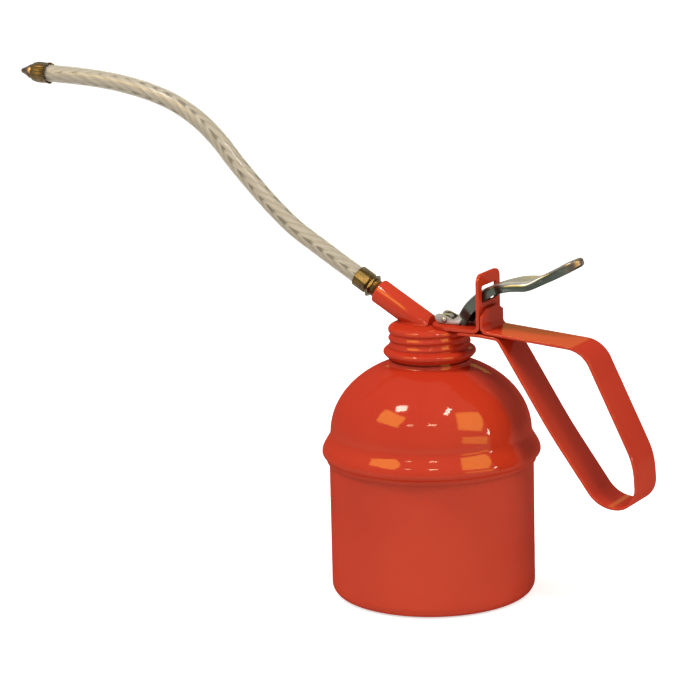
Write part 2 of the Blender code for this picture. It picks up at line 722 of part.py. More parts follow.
def tube_curve(name, points, radius, resolution, finish, parent):
    """A round tube along points, as a filled curve on a poly spline."""
    origin = parent.location / MM
    curve = bpy.data.curves.new(name, "CURVE")
    curve.dimensions = "3D"
    curve.bevel_depth = radius * MM
    curve.bevel_resolution = resolution
    curve.use_fill_caps = True
    spline = curve.splines.new("POLY")
    spline.points.add(len(points) - 1)
    for slot, point in zip(spline.points, points):
        slot.co = (*((point - origin) * MM), 1.0)
    if finish:
        curve.materials.append(finish)
    made = bpy.data.objects.new(name, curve)
    made.parent = parent
    bpy.context.collection.objects.link(made)
    return made


def make_bracket(head):
    """A flat arm on the cap, bent up into the slotted plate that the lever rocks in."""
    half = ARM_WIDTH / 2
    line = rounded(
        [(ARM_END_X, ARM_UNDER_Z), (UPRIGHT_BACK_X, ARM_UNDER_Z), (UPRIGHT_BACK_X, UPRIGHT_TOP_Z)],
        [BRACKET_BEND + ARM_THICKNESS],
    )
    bracket = piece("lever_bracket", strip(line, half, ARM_THICKNESS), enamel, head)
    slot = block(
        (UPRIGHT_X - 1, -SLOT_HALF_WIDTH, SLOT_FLOOR_Z), (UPRIGHT_BACK_X + 1, SLOT_HALF_WIDTH, SLOT_ROOF_Z)
    )
    boolean(bracket, slot)
    reach = ROD_RADIUS + ROD_CLEARANCE
    boolean(bracket, rod(reach, (PUMP_X, 0, ARM_UNDER_Z - 1), (PUMP_X, 0, ARM_TOP_Z + 1)))

    # Round the plate's two top corners and the arm's inner end
    for side in (-1, 1):
        boolean(bracket, corner_cutter(side * half, UPRIGHT_TOP_Z, UPRIGHT_CORNER, side))
    end = stadium(half, ARM_END_X + half, UPRIGHT_X, ARM_UNDER_Z - 1, ARM_TOP_Z + 1, 12)
    trim = piece("lever_bracket_end", end, None, head)
    trim.hide_render = True
    trim.display_type = "WIRE"
    waste = piece("lever_bracket_waste", block(
        (ARM_END_X - 1, -half - 1, ARM_UNDER_Z - 0.9), (ARM_END_X + half, half + 1, ARM_TOP_Z + 0.9)
    ), None, head)
    waste.hide_render = True
    waste.display_type = "WIRE"
    keep = waste.modifiers.new("round_end", "BOOLEAN")
    keep.operation = "DIFFERENCE"
    keep.object = trim
    cut = bracket.modifiers.new("round_end", "BOOLEAN")
    cut.operation = "DIFFERENCE"
    cut.object = waste


def corner_cutter(edge, top, radius, side):
    """What a plate's rounded top corner leaves away, across the plate's thickness."""
    outline = [(edge + side, top + 1), (edge - side * radius, top + 1)]
    centre = (edge - side * radius, top - radius)
    first, last = (90, 0) if side > 0 else (90, 180)
    outline += arc(centre, radius, first, last, 5)
    outline += [(edge + side, top - radius)]
    return prism(outline, UPRIGHT_X - 1, UPRIGHT_BACK_X + 1, "X")


def prism(outline, low, high, axis):
    """Push a flat outline along X, or along Y, between two places."""
    bm = bmesh.new()
    if axis == "X":
        corners = [bm.verts.new((low, a, b)) for a, b in outline]
        way = Vector((high - low, 0, 0))
    else:
        corners = [bm.verts.new((a, low, b)) for a, b in outline]
        way = Vector((0, high - low, 0))
    face = bm.faces.new(corners)
    grown = bmesh.ops.extrude_face_region(bm, geom=[face])
    ends = [item for item in grown["geom"] if isinstance(item, bmesh.types.BMVert)]
    bmesh.ops.translate(bm, verts=ends, vec=way)
    bmesh.ops.recalc_face_normals(bm, faces=bm.faces)
    return bm


def strip(line, half_width, thickness):
    """A flat strip whose right face follows a line in the XZ plane."""
    other = offset(line, thickness)
    return prism(line + other[::-1], -half_width, half_width, "Y")


def make_strap(head):
    """The loop handle: one flat strip from the back plate round to under the arm."""
    back_x = UPRIGHT_BACK_X + GAP + STRAP_THICKNESS / 2
    low_z = ARM_UNDER_Z - GAP - STRAP_THICKNESS / 2
    top_z = low_z + STRAP_THICKNESS + GAP
    corners = [
        (back_x, STRAP_BACK_TOP_Z),
        (back_x, top_z),
        STRAP_TOP_CORNER,
        STRAP_SIDE_CORNER,
        STRAP_HEEL_CORNER,
        STRAP_TOE_CORNER,
        STRAP_WAIST,
        (STRAP_FRONT_X, low_z - STRAP_FRONT_DROP),
        (STRAP_LEVEL_X, low_z),
        (STRAP_END_X, low_z),
    ]
    line = offset(rounded(corners, STRAP_BENDS), -STRAP_THICKNESS / 2)
    strap = piece("handle_strap", strip(line, STRAP_WIDTH / 2, STRAP_THICKNESS), enamel, head)
    for side in (-1, 1):
        edge = side * STRAP_WIDTH / 2
        outline = [
            (edge + side, STRAP_BACK_TOP_Z - STRAP_CHAMFER - 1),
            (edge + side, STRAP_BACK_TOP_Z + 1),
            (edge - side * (STRAP_CHAMFER * 2 + 2), STRAP_BACK_TOP_Z + 1),
        ]
        boolean(strap, prism(outline, UPRIGHT_BACK_X, back_x + STRAP_THICKNESS + 1, "X"))


def lever_outside(half, depth, lift):
    """The lever's outer outline across it: (across, down) points."""
    edge = min(LEVER_EDGE_ROUND, depth / 2)
    side = [(half, depth), (half, edge), (half - edge * 0.3, edge * 0.3 + lift * 0.1)]
    side += [(half - edge, lift * 0.2)]
    return [(-across, down) for across, down in side] + [(0.0, lift)] + side[::-1]


def lever_inside(half, depth, lift):
    """The hollow under the lever's sheet, which reaches below its flanges."""
    edge = min(LEVER_EDGE_ROUND, depth / 2)
    wall = half - LEVER_SHEET
    side = [(wall, depth + 1), (wall, edge + LEVER_SHEET * 0.6), (wall - edge * 0.6, LEVER_SHEET)]
    return [(-across, down) for across, down in side] + [(0.0, LEVER_SHEET + lift)] + side[::-1]


def ring_of(bm, section, point, down):
    """The corners of a section that stands across the lever at a point."""
    return [bm.verts.new(point + down * drop + Vector((0, across, 0))) for across, drop in section]


def closed_skin(rings, bm):
    """A closed solid through rings of corners."""
    bm.faces.new(rings[0])
    bm.faces.new(rings[-1])
    skin(bm, rings)
    bmesh.ops.recalc_face_normals(bm, faces=bm.faces)
    return bm


def make_lever(pivot):
    """One pressed channel: ears, a curved neck through the slot, a thumb pad and a tail."""
    route = smooth([Vector((x, 0, z)) for x, z in LEVER_ROUTE], 2.4)
    outer, inner = bmesh.new(), bmesh.new()
    outside, inside = [], []
    for i, point in enumerate(route):
        way = (route[min(i + 1, len(route) - 1)] - route[max(i - 1, 0)]).normalized()
        down = Vector((way.z, 0, -way.x))
        x = point.x
        pad = ramp(x, *PAD_WIDENS_X) * (1 - ramp(x, *PAD_NARROWS_X))
        tip = ramp(x, *TIP_CLOSES_X)
        half = EAR_HALF_WIDTH + (LEVER_HALF_WIDTH - EAR_HALF_WIDTH) * ramp(x, *NECK_WIDENS_X)
        half += (PAD_HALF_WIDTH - LEVER_HALF_WIDTH) * pad
        half += (TIP_HALF_WIDTH - LEVER_HALF_WIDTH) * ramp(x, *TAIL_NARROWS_X) * (1 - pad)
        nose = min(TIP_BLUNTNESS, max(0.0, (x - TIP_ROUND_X) / (route[-1].x - TIP_ROUND_X)))
        half *= math.sqrt(1 - nose**2)
        depth = NECK_DEPTH - (NECK_DEPTH - BODY_DEPTH) * ramp(x, *NECK_FLATTENS_X)
        depth -= (BODY_DEPTH - TIP_DEPTH) * tip
        dish = PAD_DISH * pad
        outside.append(ring_of(outer, lever_outside(half, depth, dish), point, down))
        if i < len(route) - 1:
            start = point - way if i == 0 else point
            inside.append(ring_of(inner, lever_inside(half, depth, dish), start, down))
    lever = piece("lever", closed_skin(outside, outer), steel, pivot)
    boolean(lever, closed_skin(inside, inner))

    # Two flat ears reach forward from the neck's foot to the pin
    foot = ARM_TOP_Z + GAP
    outline = [
        (EAR_FRONT_X + 2.4, foot),
        (EAR_BACK_X - 2.6, foot),
        (EAR_BACK_X, foot + 4.0),
        (NECK_FOOT_X + 1.0, foot + 3.4),
        (NECK_FOOT_X - 1.2, foot + 1.8),
        (EAR_FRONT_X + 3.2, EAR_TOP_Z),
        (EAR_FRONT_X + 1.0, EAR_TOP_Z),
        (EAR_FRONT_X, EAR_TOP_Z - 1.2),
        (EAR_FRONT_X + 0.4, foot + 1.3),
    ]
    for side in (-1, 1):
        outer = side * EAR_HALF_WIDTH
        inner = side * (EAR_HALF_WIDTH - EAR_THICKNESS)
        boolean(lever, prism(outline, min(outer, inner), max(outer, inner), "Y"), "UNION")
    reach = LEVER_HALF_WIDTH + 1
    boolean(lever, rod(PIN_RADIUS + FIT, (PUMP_X, -reach, PIN_Z), (PUMP_X, reach, PIN_Z), 16))
    boolean(lever, block((EAR_FRONT_X, -reach, ARM_UNDER_Z), (UPRIGHT_X - GAP, reach, foot)))
    notch = FULCRUM_NOTCH + ARM_THICKNESS / 2 + GAP
    seat = rod(
        notch,
        (UPRIGHT_X + ARM_THICKNESS / 2, -LEVER_HALF_WIDTH - 1, SLOT_FLOOR_Z - FULCRUM_NOTCH),
        (UPRIGHT_X + ARM_THICKNESS / 2, LEVER_HALF_WIDTH + 1, SLOT_FLOOR_Z - FULCRUM_NOTCH),
    )
    boolean(lever, seat)


def long_hole(radius, half_width):
    """The outline of the rod's long eye, in which the lever's pin slides."""
    outline = arc((PUMP_X + EYE_PLAY, PIN_Z), radius, -90, 90, 8)
    outline += arc((PUMP_X - EYE_REACH, PIN_Z), radius, 90, 270, 8)
    return prism(outline, -half_width, half_width, "Y")


def make_pin(pivot):
    """The pin across the lever's ears, with a small head at each end."""
    neck = EAR_HALF_WIDTH + FIT
    reach = neck + PIN_HEAD_THICKNESS
    profile = [
        (0.0, -reach),
        (PIN_HEAD_RADIUS * 0.7, -reach),
        (PIN_HEAD_RADIUS, -reach + 0.3),
        (PIN_HEAD_RADIUS, -neck),
        (PIN_RADIUS, -neck),
        (PIN_RADIUS, neck),
        (PIN_HEAD_RADIUS, neck),
        (PIN_HEAD_RADIUS, reach - 0.3),
        (PIN_HEAD_RADIUS * 0.7, reach),
        (0.0, reach),
    ]
    bm = turned(profile, 16)
    turn = Matrix.Rotation(math.radians(90), 4, "X")
    bmesh.ops.transform(bm, verts=bm.verts, matrix=Matrix.Translation((PUMP_X, 0, PIN_Z)) @ turn)
    piece("lever_pin", bm, steel, pivot)


def make_spout(head):
    """The painted socket, the brass end fittings, the hose and its nozzle."""
    foot = SOCKET_MOUTH - SPOUT_WAY * SOCKET_BAR_LENGTH
    mouth = SOCKET_MOUTH + SPOUT_WAY
    reach = SOCKET_BAR_LENGTH + SOCKET_RADIUS
    socket = piece("spout_socket", rod(SOCKET_RADIUS, foot, SOCKET_MOUTH, 32), enamel, head)
    boolean(socket, block((-reach, -reach, CAP_TOP_Z - reach), (reach, reach, CAP_TOP_Z + GAP)))
    behind = (SOCKET_CUT_X, -reach, CAP_TOP_Z - reach)
    boolean(socket, block(behind, (reach, reach, CAP_TOP_Z + reach)))
    boolean(socket, rod(SOCKET_DRILLING, foot, mouth, 16))
    boolean(socket, rod(SOCKET_BORE, SOCKET_MOUTH - SPOUT_WAY * SOCKET_THREAD_LENGTH, mouth))

    # A bored bush screws into the socket, with a lock nut and the hose's ferrule on it
    stem = SOCKET_BORE - GAP
    bush_end = FERRULE_START + PLUG_LENGTH
    profile = [
        (BUSH_BORE, GAP - SOCKET_THREAD_LENGTH),
        (stem, GAP - SOCKET_THREAD_LENGTH),
        (stem, FIT),
        (BUSH_RADIUS, FIT),
        (BUSH_RADIUS, bush_end),
        (BUSH_BORE, bush_end),
    ]
    piece("spout_bush", along_spout(profile, 16), brass, head)
    turned_at = 0.3
    flats = [(0.0, -EDGE_TURNED), (turned_at, 0.0)]
    flats += [(NUT_THICKNESS - turned_at, 0.0), (NUT_THICKNESS, -EDGE_TURNED)]
    start = SOCKET_MOUTH + SPOUT_WAY * NUT_START
    nut = hexagonal(start, SPOUT_WAY, flats, NUT_ACROSS_FLATS, NUT_CORNER_RADIUS, BUSH_RADIUS)
    piece("lock_nut", nut, brass, head)
    length = FERRULE_LENGTH
    flats = [(0.0, -EDGE_TURNED), (0.4, 0.0), (length - 0.4, 0.0), (length, -EDGE_TURNED)]
    start = SOCKET_MOUTH + SPOUT_WAY * FERRULE_START
    size = (FERRULE_ACROSS_FLATS, FERRULE_CORNER_RADIUS, HOSE_RADIUS)
    piece("base_ferrule", hexagonal(start, SPOUT_WAY, flats, *size), brass, head)

    # The hose runs straight out of each ferrule and bends smoothly between them
    first = SOCKET_MOUTH + SPOUT_WAY * (bush_end + GAP)
    last = Vector((HOSE_END[0], 0, HOSE_END[1]))
    bends = [Vector((x, 0, z)) for x, z in HOSE_ROUTE]
    way = (last - bends[-1]).normalized()
    route = [first, *(first + SPOUT_WAY * reach for reach in (FERRULE_LENGTH, HOSE_STEP)), *bends]
    route += [last - way * TIP_FERRULE_LENGTH, last]
    points = smooth(route, HOSE_STEP)
    hose_length = sum((b - a).length for a, b in zip(points, points[1:]))
    print(f"hose length {hose_length:.1f} mm")
    tube_curve("hose", points, HOSE_RADIUS, 4, hose_clear, head)

    # The tip: a flared ferrule round the hose's end and a nozzle plugged into it
    way = (points[-1] - points[-2]).normalized()
    tip_start = last + way * (GAP + PLUG_LENGTH)
    length = TIP_FERRULE_LENGTH
    flats = [(0.0, -EDGE_TURNED), (TIP_SHOULDER, 0.0), (length - 1.6, 0.0), (length, FERRULE_FLARE)]
    piece("tip_ferrule", hexagonal(tip_start, -way, flats, *size), brass, head)
    profile = [
        (NOZZLE_BORE, -PLUG_LENGTH),
        (BUSH_RADIUS, -PLUG_LENGTH),
        (BUSH_RADIUS, GAP),
        (NOZZLE_SHOULDER + FIT, GAP + FIT),
        (NOZZLE_SHOULDER, NOZZLE_NECK),
        (NOZZLE_SHOULDER - GAP, NOZZLE_NECK + GAP),
        (NOZZLE_TIP + 0.4, NOZZLE_LENGTH - 1.7),
        (NOZZLE_TIP, NOZZLE_LENGTH - 0.6),
        (NOZZLE_TIP - GAP, NOZZLE_LENGTH),
        (NOZZLE_BORE, NOZZLE_LENGTH),
    ]
    nozzle = turned(profile, 20)
    bmesh.ops.transform(nozzle, verts=nozzle.verts, matrix=Matrix.Translation(tip_start) @ facing(way))
    piece("nozzle", nozzle, brass, head)


def facing(way):
    """A turn that takes +Z to a direction."""
    return way.to_track_quat("Z", "Y").to_matrix().to_4x4()


def hexagonal(start, way, shape, across_flats, corner_radius, round_inside):
    """A six-sided sleeve, with its corners turned off, round something round.

    The shape lists distances from the start and how far the flats stand out there.
    """
    bm = bmesh.new()
    flat = across_flats / 2
    flat_ends = math.acos(flat / corner_radius)
    rings = [hexagon(bm, flat + out, corner_radius + out, flat_ends, z) for z, out in shape]
    inner = round_inside + FIT
    rings += [hexagon(bm, inner, inner, flat_ends, z) for z in (shape[-1][0], shape[0][0])]
    skin(bm, rings + rings[:1])
    bmesh.ops.transform(bm, verts=bm.verts, matrix=Matrix.Translation(start) @ facing(way))
    return bm


def hexagon(bm, flat, corner_radius, flat_ends, z):
    """A ring of six flats, with a corner towards +Y and -Y, as far out as a circle."""
    corner = math.pi / 6
    corners = []
    for side in range(6):
        middle = corner * (2 * side + 1)
        for away in (-flat_ends, 0.0, flat_ends, corner):
            reach = min(flat / math.cos(away), corner_radius)
            angle = middle + away
            corners.append(bm.verts.new((reach * math.cos(angle), reach * math.sin(angle), z)))
    return corners


def skin(bm, rings):
    """Quads between each ring of corners and the next."""
    for before, after in zip(rings, rings[1:]):
        for i in range(len(before)):
            bm.faces.new((before[i - 1], before[i], after[i], after[i - 1]))


for leftover in list(bpy.data.objects):
    bpy.data.objects.remove(leftover)

enamel = material("orange_enamel", ENAMEL, 0.0, 0.25)
steel = material("plated_steel", STEEL, 1.0, 0.3)
brass = material("aged_brass", BRASS, 1.0, 0.35)
hose_clear = material("braided_hose", HOSE_CLEAR, 0.0, 0.35)
rubber = material("black_rubber", RUBBER, 0.0, 0.6)

cap_axis = empty("cap_axis", (0, 0, 0))
gasket_axis = empty("gasket_axis", (0, 0, 0))
lever_axis = empty("lever_axis", FULCRUM)
pump_axis = empty("pump_axis", (PUMP_X, 0, 0))
foot_axis = empty("foot_valve_axis", (PUMP_X, 0, 0))
valve_axis = empty("piston_valve_axis", (PUMP_X, 0, 0))
delivery_axis = empty("delivery_valve_axis", (DELIVERY_X, 0, 0))

make_can()
make_neck()
make_cap(cap_axis)
make_gasket(gasket_axis)
make_bracket(cap_axis)
make_strap(cap_axis)
make_pump(cap_axis, pump_axis, foot_axis, delivery_axis, valve_axis)
make_return_spring(cap_axis)
make_lever(lever_axis)
make_pin(lever_axis)
make_spout(cap_axis)
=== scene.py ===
# %% [markdown]
# A thumb-lever pump oil can: a painted sheet-steel can, a screw cap that carries a
# pump, a lever and a loop handle, and a clear braided hose for a spout. The solids
# come from a fixed frame, and this file dresses them: finer shapes and finishes.
# Sizes are in millimetres and become metres when a mesh is made.

# %% Load the frame
import math

import bmesh
import bpy
from mathutils import Matrix, Vector


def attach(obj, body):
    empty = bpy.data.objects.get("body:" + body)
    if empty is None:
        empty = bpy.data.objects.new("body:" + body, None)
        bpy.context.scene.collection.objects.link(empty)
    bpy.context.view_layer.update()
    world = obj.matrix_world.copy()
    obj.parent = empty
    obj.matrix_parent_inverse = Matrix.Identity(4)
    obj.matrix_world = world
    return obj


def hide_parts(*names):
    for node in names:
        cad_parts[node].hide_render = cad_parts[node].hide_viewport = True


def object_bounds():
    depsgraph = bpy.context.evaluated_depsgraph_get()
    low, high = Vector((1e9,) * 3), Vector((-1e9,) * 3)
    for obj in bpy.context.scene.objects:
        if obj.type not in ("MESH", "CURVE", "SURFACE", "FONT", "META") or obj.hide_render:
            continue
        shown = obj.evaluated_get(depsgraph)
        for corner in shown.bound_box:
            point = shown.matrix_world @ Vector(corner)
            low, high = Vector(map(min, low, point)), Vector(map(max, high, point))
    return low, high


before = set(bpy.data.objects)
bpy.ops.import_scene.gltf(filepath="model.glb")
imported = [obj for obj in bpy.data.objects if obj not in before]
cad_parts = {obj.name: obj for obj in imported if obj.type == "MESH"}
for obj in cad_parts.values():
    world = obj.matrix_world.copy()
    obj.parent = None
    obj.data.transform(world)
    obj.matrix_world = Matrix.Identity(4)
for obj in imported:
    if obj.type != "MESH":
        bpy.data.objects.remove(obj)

MM = 0.001
cad_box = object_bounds()
print("solid model's box", cad_box)

# %% [markdown]
# The camera comes first, because every later choice is judged through it. A long
# lens from a little above the can keeps its sides upright, as in a catalogue photo.

# %% The camera
camera = bpy.data.objects.new("camera", bpy.data.cameras.new("camera"))
bpy.context.collection.objects.link(camera)
camera.location = (0.59061, -1.09936, 0.39996)
camera.rotation_euler = [math.radians(angle) for angle in (76.989, 1.379, 29.681)]
camera.data.sensor_width = 36.0
camera.data.lens = 158.82
bpy.context.scene.camera = camera
bpy.context.scene.view_settings.view_transform = "Standard"
print("camera at", tuple(camera.location))

# %% [markdown]
# Most finishes here are a few sums of noise and distance. A small class wraps a
# node's output, so that such a sum reads as plain Python and adds its own Math nodes.
# A second class holds a material, and one method of it makes every other node.

# %% A finish and its sums


class Socket:
    """A node's output, which Python's own operators add Math nodes to."""

    def __init__(self, finish, output):
        self.finish = finish
        self.output = output

    def sum(self, operation, *values):
        return self.finish.node("ShaderNodeMath", {"operation": operation}, dict(enumerate(values)))

    def __add__(self, other):
        return self.sum("ADD", self, other)

    def __radd__(self, other):
        return self.sum("ADD", other, self)

    def __sub__(self, other):
        return self.sum("SUBTRACT", self, other)

    def __rsub__(self, other):
        return self.sum("SUBTRACT", other, self)

    def __mul__(self, other):
        return self.sum("MULTIPLY", self, other)

    def __rmul__(self, other):
        return self.sum("MULTIPLY", other, self)

    def __pow__(self, other):
        return self.sum("POWER", self, other)

    def __abs__(self):
        return self.sum("ABSOLUTE", self)

    def wave(self):
        """A sine of the value, from 0 to 1."""
        return self.sum("SINE", self) * 0.5 + 0.5

    def zigzag(self):
        """A triangle wave of the value, from 0 to 1, that repeats every 1."""
        return self.sum("PINGPONG", self, 0.5) * 2


class Finish:
    """A material built round its Principled shader, filled in node by node."""

    def __init__(self, name, roughness, metallic=0.0, coat=0.0, coat_roughness=0.05):
        self.material = bpy.data.materials.new(name)
        self.material.use_nodes = True
        self.tree = self.material.node_tree
        self.shader = self.tree.nodes["Principled BSDF"]
        self.set("Roughness", roughness)
        self.set("Metallic", metallic)
        self.set("Coat Weight", coat)
        self.set("Coat Roughness", coat_roughness)

    def set(self, name, value, node=None):
        slot = (node or self.shader).inputs[name]
        if isinstance(value, Socket):
            self.tree.links.new(value.output, slot)
        else:
            slot.default_value = value

    def node(self, kind, settings, sockets, output=0):
        made = self.tree.nodes.new(kind)
        for name, setting in settings.items():
            setattr(made, name, setting)
        for name, value in sockets.items():
            self.set(name, value, made)
        return Socket(self, made.outputs[output])

    def place(self):
        return self.node("ShaderNodeTexCoord", {}, {}, "Object")

    def noise(self, scale, detail=2.0, rough=0.5, at=None):
        sockets = {"Vector": at or self.place(), "Scale": scale, "Detail": detail, "Roughness": rough}
        return self.node("ShaderNodeTexNoise", {}, sockets)

    def between(self, low, high, value):
        """0 where the value is under low, 1 where it is over high."""
        settings = {"clamp": True}
        return self.node("ShaderNodeMapRange", settings, {0: value, 1: low, 2: high, 3: 0.0, 4: 1.0})

    def mix(self, share, colour, other):
        return self.node("ShaderNodeMix", {"data_type": "RGBA"}, {0: share, 6: colour, 7: other}, 2)

    def bump(self, height, depth, strength=1.0):
        sockets = {"Height": height, "Distance": depth * MM, "Strength": strength}
        self.set("Normal", self.node("ShaderNodeBump", {}, sockets))

    def even_gloss(self, share, tint, roughness):
        """Mix in a mirror of one strength at every angle, so a white room doesn't whiten the edges."""
        self.set("Specular IOR Level", 0.0)
        mirror = self.tree.nodes.new("ShaderNodeBsdfPrincipled")
        self.set("Base Color", tint, mirror)
        self.set("Metallic", 1.0, mirror)
        self.set("Roughness", roughness, mirror)
        both = self.tree.nodes.new("ShaderNodeMixShader")
        both.inputs[0].default_value = share
        self.tree.links.new(self.shader.outputs[0], both.inputs[1])
        self.tree.links.new(mirror.outputs[0], both.inputs[2])
        self.tree.links.new(both.outputs[0], self.tree.nodes["Material Output"].inputs["Surface"])


def colour(red, green, blue):
    """A colour as a screen shows it, 0 to 255, as the linear values Blender keeps."""
    return (*((part / 255 / 12.92 if part <= 10 else ((part / 255 + 0.055) / 1.055) ** 2.4)
              for part in (red, green, blue)), 1.0)


print("colour check", [round(part, 3) for part in colour(204, 66, 42)])

# %% [markdown]
# The enamel is a thick orange-red gloss coat. Real enamel isn't flat: the spray leaves
# a faint orange peel, the coat is thicker and darker in some places, and dust and
# handling leave dull specks. Noise at three scales gives those, on the base colour,
# the roughness and a very shallow bump. A lacquer's own gloss grows at a slant, and in
# a white room that would whiten every edge, so the gloss is a weak mirror instead, of
# one strength at every angle, mixed into the paint.

# %% Enamel
MIRROR_SHARE = 0.014
MIRROR_ROUGHNESS = 0.07
MIRROR_TINT = (1.0, 0.94, 0.78, 1.0)


def enamel_finish():
    finish = Finish("orange_enamel", 0.2)
    clouds = finish.noise(14.0, 3.0)
    specks = finish.between(0.66, 0.74, finish.noise(900.0, 2.0))
    film = finish.mix(finish.between(0.35, 0.7, clouds), colour(174, 46, 25), colour(186, 56, 30))
    finish.set("Base Color", finish.mix(specks * 0.18, film, colour(150, 38, 20)))
    finish.set("Roughness", finish.noise(30.0, 3.0) * 0.06 + specks * 0.2 + 0.05)
    finish.bump(finish.noise(420.0, 1.0), 0.015, 0.3)
    finish.even_gloss(MIRROR_SHARE, MIRROR_TINT, MIRROR_ROUGHNESS)
    return finish.material


enamel = enamel_finish()
print("made", enamel.name)

# %% [markdown]
# The brass fittings are machined and then left to age: yellow metal with brown
# tarnish in patches and fine turning marks. On the six-sided fittings some faces are
# painted dark, a painted reflection, and the nozzle carries a painted highlight spot.
# The lever is zinc-plated steel, with fine scratches, rust in spots, and brown at its
# tail where the plating has worn. The lever's mesh carries a value named turned, from 0
# on its flat top to 2 at the foot of its sides. The finish reads it to paint light and
# shade: a painted highlight along the rim, where the sheet folds over, and a painted
# dark, greenish reflection on the sides.

# %% Bare metals
# Where the nozzle's painted highlight spot sits, in metres.
HIGHLIGHT_SPOT = (-0.2003, -0.0030, 0.2177)
WORN_TAIL = (65.0, 69.0)
DULLED = (0.45, 0.45, 0.45, 1.0)
SCRATCH_STRETCH = (60.0, 1400.0, 500.0)


def brass_finish():
    finish = Finish("aged_brass", 0.35, metallic=1.0)
    patches = finish.between(0.38, 0.68, finish.noise(260.0, 5.0, 0.6))
    grain = finish.noise(1800.0, 2.0)
    # How much darker each face is: on the six-sided fittings a painted reflection, on the tip sleeve
    # darker towards the hose.
    darkening = finish.node("ShaderNodeAttribute", {"attribute_name": "darkening"}, {}, "Fac")
    metal = finish.mix(patches, colour(118, 100, 62), colour(88, 74, 44))
    darkened_brass = finish.mix(patches, colour(88, 70, 36), colour(58, 46, 26))
    metal = finish.mix(darkening, metal, darkened_brass)
    finish.set("Base Color", finish.mix(grain * 0.3, metal, colour(66, 50, 28)))
    finish.set("Roughness", patches * 0.16 + grain * 0.1 + 0.2)
    finish.bump(grain, 0.02, 0.4)
    return finish.material


def tip_finish():
    finish = Finish("worn_brass_tip", 0.35, metallic=1.0)
    # A painted highlight: a bright warm spot on the side of the nozzle that faces the camera.
    sockets = {0: finish.place(), 1: HIGHLIGHT_SPOT}
    apart = finish.node("ShaderNodeVectorMath", {"operation": "DISTANCE"}, sockets, "Value")
    highlight_spot = finish.between(2.0 * MM, 0.8 * MM, apart + finish.noise(900.0) * (0.5 * MM))
    worn = finish.between(0.5, 0.7, finish.noise(330.0, 2.0)) * 0.3
    metal = finish.mix(worn, colour(70, 52, 32), colour(150, 108, 72))
    finish.set("Base Color", finish.mix(highlight_spot, metal, colour(222, 172, 124)))
    finish.set("Roughness", worn * 0.1 + 0.24)
    finish.bump(finish.noise(1600.0, 2.0), 0.02, 0.4)
    return finish.material


def steel_finish():
    finish = Finish("plated_steel", 0.3, metallic=1.0)
    finish.set("Specular Tint", DULLED)
    turned = finish.node("ShaderNodeAttribute", {"attribute_name": "turned"}, {}, "Fac")
    # Painted light read from turned: the sides are painted dark, a painted reflection of a dark room,
    # and the rounded rim gets a painted highlight.
    dark_side_reflection = finish.between(0.6, 0.95, turned)
    rim_highlight = finish.between(0.05, 0.25, turned) * finish.between(0.65, 0.4, turned)
    clouds = finish.noise(120.0, 4.0, 0.6)
    stretch = {"Vector": finish.place(), "Scale": SCRATCH_STRETCH}
    streaks = finish.node("ShaderNodeMapping", {}, stretch)
    scratches = finish.between(0.6, 0.78, finish.noise(1.0, 3.0, 0.6, streaks))
    rust = finish.between(0.62, 0.78, finish.noise(190.0, 5.0, 0.65))
    along = finish.node("ShaderNodeSeparateXYZ", {}, {0: finish.place()})
    first, last = WORN_TAIL
    worn = finish.between(first * MM, last * MM, along + (clouds - 0.5) * (3 * MM))
    metal = finish.mix(clouds, colour(130, 127, 122), colour(160, 157, 151))
    metal = finish.mix(rim_highlight * 0.8, metal, colour(206, 204, 200))
    metal = finish.mix(dark_side_reflection, metal, finish.mix(clouds, colour(50, 56, 52), colour(84, 90, 82)))
    metal = finish.mix(scratches * 0.35, metal, colour(196, 192, 182))
    metal = finish.mix(rust * 0.5, metal, colour(104, 78, 60))
    finish.set("Base Color", finish.mix(worn * (scratches * 0.5 + 0.5), metal, colour(98, 80, 70)))
    finish.set("Roughness", rust * 0.2 + clouds * 0.14 + 0.24)
    finish.bump(scratches + clouds * 0.4, 0.02, 0.35)
    return finish.material


def rubber_finish():
    finish = Finish("black_rubber", 0.6)
    finish.set("Base Color", finish.mix(finish.noise(300.0), colour(28, 28, 28), colour(44, 42, 40)))
    finish.bump(finish.noise(1500.0), 0.03)
    return finish.material


brass = brass_finish()
worn_tip = tip_finish()
steel = steel_finish()
rubber = rubber_finish()
print("made", brass.name, worn_tip.name, steel.name, rubber.name)

# %% [markdown]
# A piece starts as a bmesh in millimetres. One function turns it into an object at
# the origin, shades it smooth but for its real edges, and lets it ride on the frame.

# %% From a bmesh to a piece


def piece(bm, name, finish, body, *nodes, sharp=40.0):
    bmesh.ops.scale(bm, verts=bm.verts, vec=(MM, MM, MM))
    mesh = bpy.data.meshes.new(name)
    bm.to_mesh(mesh)
    bm.free()
    mesh.materials.append(finish)
    made = bpy.data.objects.new(name, mesh)
    bpy.context.collection.objects.link(made)
    shade(made, sharp)
    if body:
        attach(made, body)
    if nodes:
        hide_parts(*nodes)
    print(name, len(mesh.polygons), "faces")
    return made


def shade(made, sharp=40.0):
    made.data.shade_smooth()
    made.data.set_sharp_from_angle(angle=math.radians(sharp))


def settle(made, sharp=40.0):
    """Make what the piece's modifiers show its own mesh."""
    graph = bpy.context.evaluated_depsgraph_get()
    mesh = bpy.data.meshes.new_from_object(made.evaluated_get(graph))
    made.modifiers.clear()
    made.data = mesh
    shade(made, sharp)


def joined(made, bm, operation="DIFFERENCE"):
    """Cut a bmesh from a piece, or join it on, for good."""
    tool = piece(bm, "tool", made.data.materials[0], None)
    step = made.modifiers.new("join", "BOOLEAN")
    step.operation = operation
    step.solver = "EXACT"
    step.object = tool
    settle(made)
    bpy.data.objects.remove(tool)


